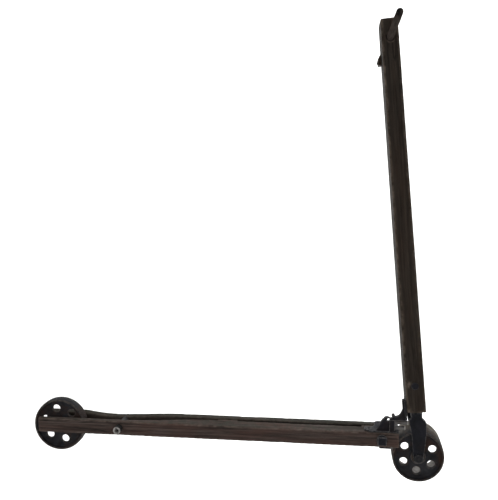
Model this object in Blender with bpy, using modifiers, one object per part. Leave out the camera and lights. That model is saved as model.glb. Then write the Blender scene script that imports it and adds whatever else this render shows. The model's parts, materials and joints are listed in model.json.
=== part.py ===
"""Ceiling-mounted pulley rack: a timber hanger, an iron knee and yoke, and a twin-rail boom
that carries two free-running flat-belt pulleys.

Units are metres, +Z is up.  The origin is the middle of the hanger's top end, the face that
goes against the ceiling.  The hanger hangs straight down and the boom runs out towards -X,
square in depth (Y) with the hanger, rising a little towards its outer end.
"""
import math

import bmesh
import bpy
from mathutils import Matrix, Vector

# ---------------------------------------------------------------- driving dimensions
GAP = 0.0003                    # clearance between touching pieces

BEAM_WIDTH = 0.072              # hanger timber at its lower end, along X
BEAM_TOP_WIDTH = 0.062          # and at the ceiling, because it tapers
BEAM_DEPTH = 0.116              # hanger timber, along Y
BEAM_LENGTH = 1.445
DATUM_DROP = 0.173              # boom's datum below the hanger's lower end
DATUM_X = -0.0027               # and across from the hanger's centre line
BOOM_RISE = math.radians(4.96)  # boom's rise towards its outer end
AXLE_X, AXLE_LIFT = -0.003, -0.003      # elbow axle from the datum

RAIL_LOW = 0.034                # rails' lower face above the datum, in the boom's frame
RAIL_HIGH = 0.091
RAIL_END = -1.490               # outer end of both rails
RAIL_STEP = -0.108              # where the full section stops, clear of the elbow pulley
TONGUE_END = -0.075             # inner end of the front rail's thin tongue
TONGUE_DEPTH = 0.0085
FRONT_RAIL_DEPTH = 0.045
FRONT_RAIL_THIN = 0.018         # front rail where it passes the end pulley
THIN_TO = -1.140                # thin section runs out to here
FULL_FROM = -0.810              # full section starts here
REAR_RAIL_NEAR = 0.060          # rear rail's faces, behind the hanger's front face
REAR_RAIL_FAR = 0.086

ELBOW_RADIUS = 0.0985           # flat-belt pulleys, nominally 8 inch
END_RADIUS = 0.1040
RIM_WALL = 0.008
HOLE_RADIUS = 0.015
ELBOW_HOLE_CIRCLE = 0.0600
END_HOLE_CIRCLE = 0.0640
ELBOW_RIM_NEAR = 0.011
ELBOW_RIM_FAR = 0.105
END_X = -1.416                  # end pulley's axle, in the boom's frame
END_Z = 0.053
END_RIM_NEAR = 0.024
END_RIM_FAR = 0.056

ARM_THICKNESS = 0.008
KNEE_NEAR = 0.008               # knee's web, behind the hanger's front face
KNEE_FAR = 0.020
LEG_NEAR = 0.002                # knee's leg, which is wider than its web
LEG_FAR = 0.027
LEG_THICKNESS = 0.015           # through the leg and the rib on it
LEG_FLANGE = 0.008
LEG_TOP = 0.050                 # leg's top above the hanger's lower end
FOOT_THICKNESS = 0.006
FOOT_LEFT = -0.205
FOOT_FAR = 0.080

ROUND_STEPS = 20
PULLEY_STEPS = 40

DATUM_Z = -(BEAM_LENGTH + DATUM_DROP)
FOOT_TOP = RAIL_HIGH + GAP + FOOT_THICKNESS
TOWARDS_BACK = (-math.pi / 2, 0.0, 0.0)     # turns a piece made along Z to point along +Y
TOWARDS_FRONT = (math.pi / 2, 0.0, 0.0)     # ... along -Y
TOWARDS_RIGHT = (0.0, math.pi / 2, 0.0)     # ... along +X
TOWARDS_LEFT = (0.0, -math.pi / 2, 0.0)     # ... along -X
UPRIGHT = (0.0, 0.0, 0.0)

# ---------------------------------------------------------------- scene and materials
for old in list(bpy.data.objects):
    bpy.data.objects.remove(old, do_unlink=True)

parts = bpy.data.collections.new("pulley_rack")
cutters = bpy.data.collections.new("cutters")
for collection in (parts, cutters):
    bpy.context.scene.collection.children.link(collection)


def material(name, colour, roughness, metallic):
    made = bpy.data.materials.new(name)
    made.use_nodes = True
    shader = made.node_tree.nodes["Principled BSDF"]
    shader.inputs["Base Color"].default_value = (*colour, 1.0)
    shader.inputs["Roughness"].default_value = roughness
    shader.inputs["Metallic"].default_value = metallic
    return made


hanger_wood = material("hanger_wood", (0.030, 0.022, 0.017), 0.70, 0.0)
rail_wood = material("rail_wood", (0.052, 0.030, 0.022), 0.65, 0.0)
peg_wood = material("peg_wood", (0.060, 0.050, 0.044), 0.70, 0.0)
black_iron = material("black_iron", (0.011, 0.011, 0.014), 0.55, 0.6)
pulley_iron = material("pulley_iron", (0.014, 0.014, 0.017), 0.50, 0.7)
worn_steel = material("worn_steel", (0.30, 0.29, 0.28), 0.40, 1.0)
bronze = material("bronze", (0.25, 0.15, 0.06), 0.40, 1.0)


# ---------------------------------------------------------------- helpers
def behind(distance):
    """Y of a plane this far behind the hanger's front face."""
    return distance - BEAM_DEPTH / 2


def empty(name, location, rotation=UPRIGHT, parent=None):
    made = bpy.data.objects.new(name, None)
    made.location = location
    made.rotation_euler = rotation
    made.parent = parent
    parts.objects.link(made)
    return made


def placed(name, mesh, location, rotation=UPRIGHT, parent=None, finish=None):
    """One object from a mesh; with no finish it is a cutter or a piece of a Boolean."""
    made = bpy.data.objects.new(name, mesh)
    made.location = location
    made.rotation_euler = rotation
    made.parent = parent
    if finish is None:
        made.hide_render = True
        made.display_type = "WIRE"
        cutters.objects.link(made)
    else:
        mesh.materials.append(finish)
        parts.objects.link(made)
    return made


def box_mesh(name, size):
    shape = bmesh.new()
    bmesh.ops.create_cube(shape, size=1.0)
    bmesh.ops.scale(shape, vec=Vector(size), verts=shape.verts)
    mesh = bpy.data.meshes.new(name)
    shape.to_mesh(mesh)
    shape.free()
    return mesh


def box(name, low, high, parent=None, finish=None, edge=0.0):
    """A box between two corners, with its edges eased by a bevel."""
    size = [b - a for a, b in zip(low, high)]
    centre = [(a + b) / 2 for a, b in zip(low, high)]
    made = placed(name, box_mesh(name, size), centre, UPRIGHT, parent, finish)
    if edge:
        bevel(made, edge)
    return made


def bevel(piece, width, segments=1):
    modifier = piece.modifiers.new("eased edges", "BEVEL")
    modifier.width = width
    modifier.segments = segments
    modifier.limit_method = "ANGLE"
    modifier.angle_limit = math.radians(40)
    return modifier


def rod_mesh(name, radius, length, sides=ROUND_STEPS):
    """A cylinder that starts at the origin and runs along +Z."""
    shape = bmesh.new()
    bmesh.ops.create_cone(shape, cap_ends=True, segments=sides,
                          radius1=radius, radius2=radius, depth=length)
    bmesh.ops.translate(shape, vec=(0, 0, length / 2), verts=shape.verts)
    mesh = bpy.data.meshes.new(name)
    shape.to_mesh(mesh)
    shape.free()
    return mesh


def rod(name, radius, start, length, rotation, parent=None, finish=None, sides=ROUND_STEPS):
    mesh = rod_mesh(name, radius, length, sides)
    if finish is not None:
        round_off(mesh)
    return placed(name, mesh, start, rotation, parent, finish)


def round_off(mesh):
    mesh.shade_smooth()
    mesh.set_sharp_from_angle(angle=math.radians(35))


def turned(name, profile, start, rotation, parent=None, finish=None, steps=ROUND_STEPS, closed=False):
    """A profile of (radius, height) points, top to bottom on its outer side, spun about Z."""
    count = len(profile)
    edges = [(i, i + 1) for i in range(count - 1)]
    if closed:
        edges.append((count - 1, 0))
    mesh = bpy.data.meshes.new(name)
    mesh.from_pydata([(r, 0.0, z) for r, z in profile], edges, [])
    made = placed(name, mesh, start, rotation, parent, finish)
    spin = made.modifiers.new("spin", "SCREW")
    spin.axis = "Z"
    spin.steps = steps
    spin.render_steps = steps
    spin.use_merge_vertices = True
    spin.merge_threshold = 0.00005
    spin.use_smooth_shade = True
    return made


def plate(name, outline, thickness, location, rotation, parent=None, finish=None):
    """A flat outline, filled and extruded about its own plane, as a closed mesh."""
    curve = bpy.data.curves.new(name, "CURVE")
    curve.dimensions = "2D"
    curve.fill_mode = "BOTH"
    curve.extrude = thickness / 2
    spline = curve.splines.new("POLY")
    spline.points.add(len(outline) - 1)
    for point, (x, y) in zip(spline.points, outline):
        point.co = (x, y, 0.0, 1.0)
    spline.use_cyclic_u = True
    drawn = bpy.data.objects.new(name + "_outline", curve)
    bpy.context.scene.collection.objects.link(drawn)
    evaluated = drawn.evaluated_get(bpy.context.evaluated_depsgraph_get())
    mesh = bpy.data.meshes.new_from_object(evaluated)
    bpy.data.objects.remove(drawn, do_unlink=True)
    shape = bmesh.new()
    shape.from_mesh(mesh)
    bmesh.ops.remove_doubles(shape, verts=shape.verts, dist=0.00005)
    bmesh.ops.dissolve_limit(shape, angle_limit=math.radians(0.5),
                             verts=shape.verts, edges=shape.edges)
    shape.to_mesh(mesh)
    shape.free()
    mesh.name = name
    return placed(name, mesh, location, rotation, parent, finish)


def arc(centre, radius, start, end, steps):
    """Points on a round stretch of an outline, angles in degrees."""
    turns = [math.radians(start + (end - start) * i / steps) for i in range(steps + 1)]
    return [(centre[0] + radius * math.cos(a), centre[1] + radius * math.sin(a)) for a in turns]


def boolean(piece, other, operation):
    modifier = piece.modifiers.new(operation.lower() + " " + other.name, "BOOLEAN")
    modifier.operation = operation
    modifier.solver = "EXACT"
    modifier.object = other


def cut(piece, *tools):
    for tool in tools:
        boolean(piece, tool, "DIFFERENCE")


def join(piece, *others):
    for other in others:
        boolean(piece, other, "UNION")


def wood_screw(name, head_radius, head_height, shank_radius, length, seat, rotation, parent, finish):
    """A wood screw from its seat: round-headed, or countersunk where the head has no height."""
    if head_height:
        top = [(0.0, head_height), (head_radius * 0.55, head_height * 0.86),
               (head_radius * 0.92, head_height * 0.42), (head_radius, 0.0), (shank_radius, 0.0)]
    else:
        top = [(0.0, 0.0), (head_radius, 0.0), (head_radius, -0.0006),
               (shank_radius, -0.0006 - (head_radius - shank_radius))]
    profile = top + [(shank_radius, -length * 0.75), (0.0, -length)]
    return turned(name, profile, seat, rotation, parent, finish, steps=16)


def ring_profile(inner, outer, height):
    return [(outer, height), (outer, 0.0), (inner, 0.0), (inner, height)]


def ring(name, inner, outer, start, height, rotation, parent, finish, steps=ROUND_STEPS):
    return turned(name, ring_profile(inner, outer, height), start, rotation, parent, finish,
                  steps, closed=True)


def square_nut(name, across, height, bore, start, rotation, parent, finish):
    """A square nut with a plain hole, its corners eased."""
    half = across / 2
    made = placed(name, box_mesh(name, (across, across, height)),
                  start, rotation, parent, finish)
    made.data.transform(Matrix.Translation((0, 0, height / 2)))
    bevel(made, half * 0.10)
    hole = rod(name + "_hole", bore, start, height * 3, rotation, parent)
    hole.data.transform(Matrix.Translation((0, 0, -height)))
    cut(made, hole)
    return made


# ---------------------------------------------------------------- frames of reference
datum = empty("datum", (DATUM_X, 0.0, DATUM_Z))
elbow = empty("elbow_axis", (AXLE_X, 0.0, AXLE_LIFT), UPRIGHT, datum)
boom = empty("boom_frame", (0.0, 0.0, 0.0), (0.0, BOOM_RISE, 0.0), datum)
end_axis = empty("end_axis", (END_X, 0.0, END_Z), UPRIGHT, boom)


def upright(x, z):
    """A point of the boom's frame, across and above the datum, in upright axes."""
    c, s = math.cos(BOOM_RISE), math.sin(BOOM_RISE)
    return (x * c + z * s, z * c - x * s)


# ---------------------------------------------------------------- hanger and its fittings
BEAM_LOW = -BEAM_LENGTH
YOKE_BOLT_Z = BEAM_LOW + 0.105
YOKE_BOLT_RADIUS = 0.006
PEG_Z = -0.068
PEG_TURN = math.radians(-0.2)
PEG_RADIUS = 0.0135
PEG_REACH = 0.335
TANG_HALF = 0.022
TANG_THICKNESS = 0.016
TANG_TOP = BEAM_LOW + 0.130
LEG_LEFT = -BEAM_WIDTH / 2 - GAP - LEG_THICKNESS
LEG_SCREW_HEIGHTS = (0.016, 0.037)
LEG_SCREW_RADIUS = 0.0032
CLEAT_TOP = -0.110
CLEAT_HEIGHT = 0.042
CLEAT_NEAR = 0.064
CLEAT_FAR = 0.104
CLEAT_PROUD = 0.013
CLEAT_X = -0.0318
CLEAT_SCREW_Z = CLEAT_TOP - 0.030
CLEAT_SCREW_DEPTHS = (0.074, 0.094)

beam = box("hanger_beam", (-BEAM_WIDTH / 2, -BEAM_DEPTH / 2, BEAM_LOW),
           (BEAM_WIDTH / 2, BEAM_DEPTH / 2, 0.0), None, hanger_wood, 0.0025)
for corner in beam.data.vertices:
    if corner.co.z > 0:
        corner.co.x *= BEAM_TOP_WIDTH / BEAM_WIDTH
mortise = box("tang_mortise",
              (-TANG_HALF - GAP, -TANG_THICKNESS / 2 - GAP, BEAM_LOW - 0.02),
              (TANG_HALF + GAP, TANG_THICKNESS / 2 + GAP, TANG_TOP + 0.002))
yoke_bolt_hole = rod("yoke_bolt_hole", YOKE_BOLT_RADIUS + GAP, (0, -0.08, YOKE_BOLT_Z),
                     0.16, TOWARDS_BACK)
peg_axis = empty("peg_axis", (0.0, behind(0), PEG_Z), (0.0, 0.0, PEG_TURN))
peg_hole = rod("peg_hole", PEG_RADIUS + GAP, (0, -0.02, 0), 0.16, TOWARDS_BACK, peg_axis)
cut(beam, mortise, yoke_bolt_hole, peg_hole)
for number, height in enumerate(LEG_SCREW_HEIGHTS):
    pilot = rod(f"leg_pilot_{number}", LEG_SCREW_RADIUS + GAP,
                (LEG_LEFT - 0.01, behind((KNEE_NEAR + KNEE_FAR) / 2), BEAM_LOW + height),
                0.073, TOWARDS_RIGHT, sides=16)
    cut(beam, pilot)
for number, near in enumerate(CLEAT_SCREW_DEPTHS):
    pilot = rod(f"cleat_pilot_{number}", 0.0023, (-0.06, behind(near), CLEAT_SCREW_Z),
                0.055, TOWARDS_RIGHT, sides=16)
    cut(beam, pilot)

# peg: a tapered round of wood pushed through the hanger, split and wedged behind it
PEG_BACK = BEAM_DEPTH + 0.006
peg_profile = [(0.0, PEG_REACH), (0.0080, PEG_REACH - 0.001), (0.0100, PEG_REACH - 0.003),
               (0.0107, PEG_REACH - 0.009), (PEG_RADIUS, 0.0),
               (PEG_RADIUS, -PEG_BACK), (0.0, -PEG_BACK)]
peg = turned("peg", peg_profile, (0, 0, 0), TOWARDS_FRONT, peg_axis, peg_wood)
kerf = box("peg_kerf", (-0.0018, PEG_BACK - 0.026, -0.02), (0.0018, PEG_BACK + 0.01, 0.02), peg_axis)
cut(peg, kerf)
wedge_outline = [(-0.0014, 0.0), (0.0014, 0.0), (0.0007, -0.020), (-0.0007, -0.020)]
plate("peg_wedge", wedge_outline, 0.020, (0, PEG_BACK + 0.002, 0), UPRIGHT, peg_axis, rail_wood)

# cleat on the hanger's left side
cleat_outline = [(0.0, 0.0), (-0.0015, 0.0), (-CLEAT_PROUD, -0.019), (-CLEAT_PROUD, -CLEAT_HEIGHT),
                 (0.0, -CLEAT_HEIGHT)]
cleat = plate("side_cleat", cleat_outline, CLEAT_FAR - CLEAT_NEAR,
              (CLEAT_X, behind((CLEAT_NEAR + CLEAT_FAR) / 2), CLEAT_TOP),
              TOWARDS_FRONT, None, hanger_wood)
for number, near in enumerate(CLEAT_SCREW_DEPTHS):
    seat = (CLEAT_X - CLEAT_PROUD - GAP, behind(near), CLEAT_SCREW_Z)
    cut(cleat, rod(f"cleat_hole_{number}", 0.0023, (seat[0] - 0.01, seat[1], seat[2]),
                   0.04, TOWARDS_RIGHT, sides=16))
    wood_screw(f"cleat_screw_{number + 1}", 0.0045, 0.0028, 0.0020, 0.032, seat, TOWARDS_LEFT,
               None, black_iron)

# ---------------------------------------------------------------- yoke
YOKE_NEAR = 0.0005
YOKE_FAR = BEAM_DEPTH - 0.0005
CROWN_HALF = 0.019
CROWN_LOW = 0.152
ELBOW_AXLE_RADIUS = 0.011
ARM_END = 0.020
arm_outline = [(CROWN_HALF, DATUM_DROP - GAP), (CROWN_HALF, 0.156), (0.027, 0.147), (0.033, 0.140),
               (0.035, 0.129), (0.033, 0.094), (0.025, 0.045)]
arm_outline += arc((AXLE_X, AXLE_LIFT), ARM_END, 18, -198, 18)
arm_outline += [(-0.022, 0.084), (-0.029, 0.143), (-0.027, 0.150), (-CROWN_HALF, 0.156),
                (-CROWN_HALF, DATUM_DROP - GAP)]


def arm(name, near, finish):
    return plate(name, arm_outline, ARM_THICKNESS, (0, behind(near + ARM_THICKNESS / 2), 0),
                 TOWARDS_FRONT, datum, finish)


yoke = arm("yoke", YOKE_NEAR, black_iron)
rear_arm = arm("yoke_rear_arm", YOKE_FAR - ARM_THICKNESS, None)
crown = box("yoke_crown", (-CROWN_HALF, behind(YOKE_NEAR + 0.001), CROWN_LOW),
            (CROWN_HALF, behind(YOKE_FAR - 0.001), DATUM_DROP - GAP - 0.0002), datum)
tang = box("yoke_tang", (-TANG_HALF - DATUM_X, -TANG_THICKNESS / 2, CROWN_LOW + 0.006),
           (TANG_HALF - DATUM_X, TANG_THICKNESS / 2, TANG_TOP - DATUM_Z), datum)
join(yoke, crown, rear_arm, tang)
elbow_axle_hole = rod("elbow_axle_hole", ELBOW_AXLE_RADIUS + GAP, (0, -0.08, 0), 0.16,
                      TOWARDS_BACK, elbow)
cut(yoke, elbow_axle_hole, yoke_bolt_hole)

# coach bolt through hanger and tang, round head in front, washer and square nut behind
bolt_profile = [(0.0, 0.007), (0.006, 0.0062), (0.011, 0.0035), (0.014, 0.0),
                (YOKE_BOLT_RADIUS, 0.0), (YOKE_BOLT_RADIUS, -BEAM_DEPTH - 0.020),
                (0.0, -BEAM_DEPTH - 0.020)]
turned("yoke_bolt", bolt_profile, (0, -BEAM_DEPTH / 2 - GAP, YOKE_BOLT_Z), TOWARDS_FRONT,
       None, black_iron)
ring("yoke_bolt_washer", YOKE_BOLT_RADIUS + GAP, 0.016, (0, BEAM_DEPTH / 2 + GAP, YOKE_BOLT_Z),
     0.0025, TOWARDS_BACK, None, black_iron)
square_nut("yoke_bolt_nut", 0.022, 0.010, YOKE_BOLT_RADIUS + GAP,
           (0, BEAM_DEPTH / 2 + 0.0025 + 2 * GAP, YOKE_BOLT_Z), TOWARDS_BACK, None, black_iron)

# ---------------------------------------------------------------- knee
WEB_RIGHT = -0.093
ARM_UNDER = 0.139
HOLE_X, HOLE_Z = -0.1155, 0.1386
EYE_RADIUS = 0.0060
STAY_UPPER_Z = 0.1285
STAY_LOWER_Z = 0.1075
STAY_RADIUS = 0.0075
STAY_BOSS = 0.0105
STAY_START = -0.104
STAY_UPPER_END = -0.042
STAY_LOWER_END = -0.053
SET_SCREW_X = -0.0985
SET_SCREW_RADIUS = 0.004
CLAMP_X = -0.118
CLAMP_Y = 0.0525
CLAMP_RADIUS = 0.0060
KNEE_MIDDLE = behind((KNEE_NEAR + KNEE_FAR) / 2)
FOOT_SCREWS = ((-0.188, 0.022), (-0.150, 0.071))

leg_top_z = DATUM_DROP + LEG_TOP
leg_right = -BEAM_WIDTH / 2 - GAP - DATUM_X
leg_left = leg_right - LEG_THICKNESS

knee_outline = [(leg_right, leg_top_z), (leg_right, DATUM_DROP - 0.030)]
knee_outline += [upright(-0.060, ARM_UNDER), upright(WEB_RIGHT, ARM_UNDER),
                 upright(WEB_RIGHT, FOOT_TOP - 0.003), upright(-0.160, FOOT_TOP - 0.003),
                 upright(-0.1585, FOOT_TOP + 0.004), upright(-0.1385, 0.1390)]
knee_outline += [upright(x, z) for x, z in arc((-0.1215, 0.1365), 0.0135, 165, 45, 7)]
knee_outline += [upright(-0.1060, 0.1440), upright(-0.1010, 0.1510), upright(-0.0880, 0.1525),
                 upright(-0.0800, 0.1545), upright(-0.0745, 0.1590), upright(-0.0705, 0.1670),
                 (leg_left, DATUM_DROP + 0.012), (leg_left, leg_top_z)]
knee = plate("knee_bracket", knee_outline, KNEE_FAR - KNEE_NEAR, (0, KNEE_MIDDLE, 0),
             TOWARDS_FRONT, datum, black_iron)
leg = box("knee_leg", (leg_right - LEG_FLANGE, behind(LEG_NEAR), DATUM_DROP - 0.026),
          (leg_right - 0.0001, behind(LEG_FAR), leg_top_z - 0.002), datum)
boss = box("knee_boss", (WEB_RIGHT - 0.020, KNEE_MIDDLE - STAY_BOSS, FOOT_TOP - 0.002),
           (WEB_RIGHT + 0.0004, KNEE_MIDDLE + STAY_BOSS, STAY_UPPER_Z + STAY_BOSS + 0.002), boom)
foot_outline = [(-0.0755, 0.0025), (-0.0755, 0.0600), (-0.0980, FOOT_FAR), (-0.158, FOOT_FAR),
                (-0.166, 0.070), (-0.166, 0.048), (-0.176, 0.036), (FOOT_LEFT, 0.031),
                (FOOT_LEFT, 0.012), (-0.182, 0.0025)]
foot = plate("knee_foot", [(x, behind(y)) for x, y in foot_outline], FOOT_THICKNESS,
             (0, 0, RAIL_HIGH + GAP + FOOT_THICKNESS / 2), UPRIGHT, boom)
join(knee, leg, boss, foot)
eye_hole = rod("knee_eye", EYE_RADIUS, (HOLE_X, behind(0) - 0.02, HOLE_Z), 0.08, TOWARDS_BACK, boom)
cut(knee, eye_hole)
for name, height in (("upper", STAY_UPPER_Z), ("lower", STAY_LOWER_Z)):
    cut(knee, rod(f"stay_{name}_hole", STAY_RADIUS + GAP, (STAY_START - 0.002, KNEE_MIDDLE, height),
                  0.05, TOWARDS_RIGHT, boom, sides=24))
cut(knee, rod("set_screw_hole", SET_SCREW_RADIUS + GAP, (SET_SCREW_X, KNEE_MIDDLE, 0.137), 0.05,
              UPRIGHT, boom, sides=24))
clamp_hole = rod("clamp_hole", CLAMP_RADIUS + GAP, (CLAMP_X, behind(CLAMP_Y), 0.0), 0.13,
                 UPRIGHT, boom, sides=24)
cut(knee, clamp_hole)

for number, (x, near) in enumerate(FOOT_SCREWS):
    seat = (x, behind(near), FOOT_TOP)
    sink_profile = [(0.0, 0.004), (0.0062, 0.004), (0.0062, -0.0008),
                    (0.0032, -0.0038), (0.0032, -0.030), (0.0, -0.030)]
    cut(knee, turned(f"foot_sink_{number}", sink_profile, seat, UPRIGHT, boom, steps=16))
    wood_screw(f"foot_screw_{number + 1}", 0.0058, 0.0, 0.0028, 0.038, seat, UPRIGHT, boom,
               black_iron)

for number, height in enumerate(LEG_SCREW_HEIGHTS):
    seat = (leg_left, KNEE_MIDDLE, DATUM_DROP + height)
    sink_profile = [(0.0, 0.004), (0.0066, 0.004), (0.0066, -0.0008),
                    (LEG_SCREW_RADIUS + GAP, -0.0044), (LEG_SCREW_RADIUS + GAP, -0.030),
                    (0.0, -0.030)]
    cut(knee, turned(f"leg_sink_{number}", sink_profile, seat, TOWARDS_LEFT, datum, steps=16))
    wood_screw(f"leg_screw_{number + 1}", 0.0062, 0.0, LEG_SCREW_RADIUS, 0.060, seat, TOWARDS_LEFT,
               datum, black_iron)


def stay_bolt(name, height, end):
    """A plain round bolt let into the knee's web, its free end eased."""
    length = end - STAY_START
    profile = [(0.0, length), (STAY_RADIUS - 0.0015, length), (STAY_RADIUS, length - 0.0015),
               (STAY_RADIUS, 0.0), (0.0, 0.0)]
    return turned(name, profile, (STAY_START, KNEE_MIDDLE, height), TOWARDS_RIGHT, boom,
                  worn_steel, steps=24)


stay_bolt("stay_bolt_upper", STAY_UPPER_Z, STAY_UPPER_END)
stay_bolt("stay_bolt_lower", STAY_LOWER_Z, STAY_LOWER_END)
set_screw_profile = [(0.0, 0.0105), (0.0025, 0.0100), (0.0062, 0.0060), (0.0068, 0.0),
                     (SET_SCREW_RADIUS, 0.0), (SET_SCREW_RADIUS, -0.0125), (0.0, -0.0125)]
turned("knee_set_screw", set_screw_profile, (SET_SCREW_X, KNEE_MIDDLE, 0.1527), UPRIGHT, boom,
       black_iron, steps=24)

# clamp plate under the rails, drawn up by one bolt through the slot
CLAMP_TOP = RAIL_LOW - GAP
clamp_plate = box("clamp_plate", (-0.150, behind(0.003), CLAMP_TOP - 0.006),
                  (-0.1055, behind(FOOT_FAR), CLAMP_TOP), boom, black_iron, 0.0012)
cut(clamp_plate, clamp_hole)
clamp_length = FOOT_TOP + GAP - 0.012
clamp_shank = rod("clamp_bolt", CLAMP_RADIUS, (CLAMP_X, behind(CLAMP_Y), FOOT_TOP + GAP - clamp_length),
                  clamp_length + 0.002, UPRIGHT, boom, black_iron, sides=24)
clamp_head = box("clamp_head", (CLAMP_X - 0.010, behind(CLAMP_Y) - 0.010, FOOT_TOP + GAP),
                 (CLAMP_X + 0.010, behind(CLAMP_Y) + 0.010, FOOT_TOP + 0.0085), boom, None, 0.0012)
join(clamp_shank, clamp_head)
square_nut("clamp_nut", 0.022, 0.010, CLAMP_RADIUS + GAP,
           (CLAMP_X, behind(CLAMP_Y), CLAMP_TOP - 0.006 - GAP - 0.010), UPRIGHT, boom, black_iron)

# ---------------------------------------------------------------- rails
RAIL_MIDDLE = (RAIL_LOW + RAIL_HIGH) / 2
RAIL_HEIGHT = RAIL_HIGH - RAIL_LOW
RAIL_BOLT_X, RAIL_BOLT_Z = -0.140, 0.064
RAIL_BOLT_RADIUS = 0.0065
PIPE_X, PIPE_Z = -1.160, 0.0635
PIPE_RADIUS = 0.0145
PIPE_BORE = 0.0078
END_AXLE_RADIUS = 0.008
FILLER_LEFT, FILLER_RIGHT = -0.215, -0.130
HOLLOW_LEFT, HOLLOW_RIGHT = -1.325, -0.900      # worn hollow in the rear rail's top
HOLLOW_DEPTH = 0.0115
HOLLOW_SKEW = 1.9
MID_FILLER_LEFT, MID_FILLER_RIGHT = -0.780, -0.700
MID_SCREWS_X = (-0.760, -0.720)

front_outline = [(RAIL_END, 0.0), (TONGUE_END, 0.0), (TONGUE_END, TONGUE_DEPTH),
                 (RAIL_STEP, TONGUE_DEPTH), (RAIL_STEP, FRONT_RAIL_DEPTH),
                 (FULL_FROM, FRONT_RAIL_DEPTH)]
run_out = 10
for step in range(1, run_out):
    share = step / run_out
    ease = share * share * (3 - 2 * share)
    front_outline.append((FULL_FROM + (THIN_TO - FULL_FROM) * share,
                          FRONT_RAIL_DEPTH + (FRONT_RAIL_THIN - FRONT_RAIL_DEPTH) * ease))
front_outline += [(THIN_TO, FRONT_RAIL_THIN), (RAIL_END, FRONT_RAIL_THIN)]
front_rail = plate("front_rail", [(x, behind(y)) for x, y in front_outline], RAIL_HEIGHT,
                   (0, 0, RAIL_MIDDLE), UPRIGHT, boom, rail_wood)
bevel(front_rail, 0.0012)
hollow_points = 14
rear_outline = [(RAIL_END, RAIL_LOW), (RAIL_STEP, RAIL_LOW), (RAIL_STEP, RAIL_HIGH)]
for step in range(hollow_points + 1):
    share = step / hollow_points
    sink_here = HOLLOW_DEPTH * math.sin(math.pi * share ** HOLLOW_SKEW)
    rear_outline.append((HOLLOW_RIGHT + (HOLLOW_LEFT - HOLLOW_RIGHT) * share, RAIL_HIGH - sink_here))
rear_outline.append((RAIL_END, RAIL_HIGH))
rear_rail = plate("rear_rail", rear_outline, REAR_RAIL_FAR - REAR_RAIL_NEAR,
                  (0, behind((REAR_RAIL_NEAR + REAR_RAIL_FAR) / 2), 0), TOWARDS_FRONT, boom,
                  rail_wood)
bevel(rear_rail, 0.0015)
pipe_hole = rod("pipe_hole", PIPE_RADIUS + GAP, (PIPE_X, behind(-0.02), PIPE_Z), 0.13,
                TOWARDS_BACK, boom)
rail_bolt_hole = rod("rail_bolt_hole", RAIL_BOLT_RADIUS + GAP,
                     (RAIL_BOLT_X, behind(-0.02), RAIL_BOLT_Z), 0.13, TOWARDS_BACK, boom)
end_axle_hole = rod("end_axle_hole", END_AXLE_RADIUS + GAP, (END_X, behind(0.006), END_Z), 0.10,
                    TOWARDS_BACK, boom)
cut(front_rail, pipe_hole, rail_bolt_hole, end_axle_hole)
cut(rear_rail, pipe_hole, rail_bolt_hole, end_axle_hole)
for number, (x, near) in enumerate(FOOT_SCREWS):
    pilot = rod(f"foot_pilot_{number}", 0.0031, (x, behind(near), RAIL_HIGH - 0.035),
                0.05, UPRIGHT, boom, sides=16)
    cut(front_rail if number == 0 else rear_rail, pilot)

# filler blocks keep the slot between the rails open
SLOT_NEAR = FRONT_RAIL_DEPTH + GAP
SLOT_FAR = REAR_RAIL_NEAR - GAP
end_filler = box("end_filler", (FILLER_LEFT, behind(SLOT_NEAR), RAIL_LOW + 0.002),
                 (FILLER_RIGHT, behind(SLOT_FAR), RAIL_HIGH - 0.002), boom, rail_wood, 0.001)
cut(end_filler, rail_bolt_hole)
mid_filler = box("mid_filler", (MID_FILLER_LEFT, behind(SLOT_NEAR), RAIL_LOW + 0.002),
                 (MID_FILLER_RIGHT, behind(SLOT_FAR), RAIL_HIGH - 0.004), boom, rail_wood, 0.001)
for number, x in enumerate(MID_SCREWS_X):
    seat = (x, behind(REAR_RAIL_FAR + GAP), RAIL_MIDDLE)
    pilot = rod(f"mid_pilot_{number}", 0.0028, (x, seat[1] - 0.054, RAIL_MIDDLE), 0.08,
                TOWARDS_BACK, boom, sides=16)
    cut(rear_rail, pilot)
    cut(mid_filler, pilot)
    cut(front_rail, pilot)
    wood_screw(f"mid_filler_screw_{number + 1}", 0.0055, 0.0032, 0.0025, 0.052, seat, TOWARDS_BACK,
               boom, black_iron)

# bolt, washers and nut through both rails near the elbow
rail_bolt_length = REAR_RAIL_FAR + 0.020
rail_bolt = rod("rail_bolt", RAIL_BOLT_RADIUS, (RAIL_BOLT_X, behind(-0.005), RAIL_BOLT_Z),
                rail_bolt_length, TOWARDS_BACK, boom, black_iron, sides=24)
bolt_head = box("rail_bolt_head",
                (RAIL_BOLT_X - 0.0165, behind(-0.0130), RAIL_BOLT_Z - 0.0165),
                (RAIL_BOLT_X + 0.0165, behind(-0.0030 - GAP), RAIL_BOLT_Z + 0.0165), boom, None, 0.0016)
join(rail_bolt, bolt_head)
washer_mesh_profile = [(0.0205, 0.0027), (0.0205, 0.0), (RAIL_BOLT_RADIUS + GAP, 0.0),
                       (RAIL_BOLT_RADIUS + GAP, 0.0027)]
turned("rail_bolt_front_washer", washer_mesh_profile, (RAIL_BOLT_X, behind(-0.0030), RAIL_BOLT_Z),
       TOWARDS_BACK, boom, black_iron, closed=True)
turned("rail_bolt_rear_washer", washer_mesh_profile,
       (RAIL_BOLT_X, behind(REAR_RAIL_FAR + GAP), RAIL_BOLT_Z), TOWARDS_BACK, boom, black_iron,
       closed=True)
square_nut("rail_bolt_nut", 0.024, 0.011, RAIL_BOLT_RADIUS + GAP,
           (RAIL_BOLT_X, behind(REAR_RAIL_FAR + 0.003 + 2 * GAP), RAIL_BOLT_Z), TOWARDS_BACK, boom,
           black_iron)

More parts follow.
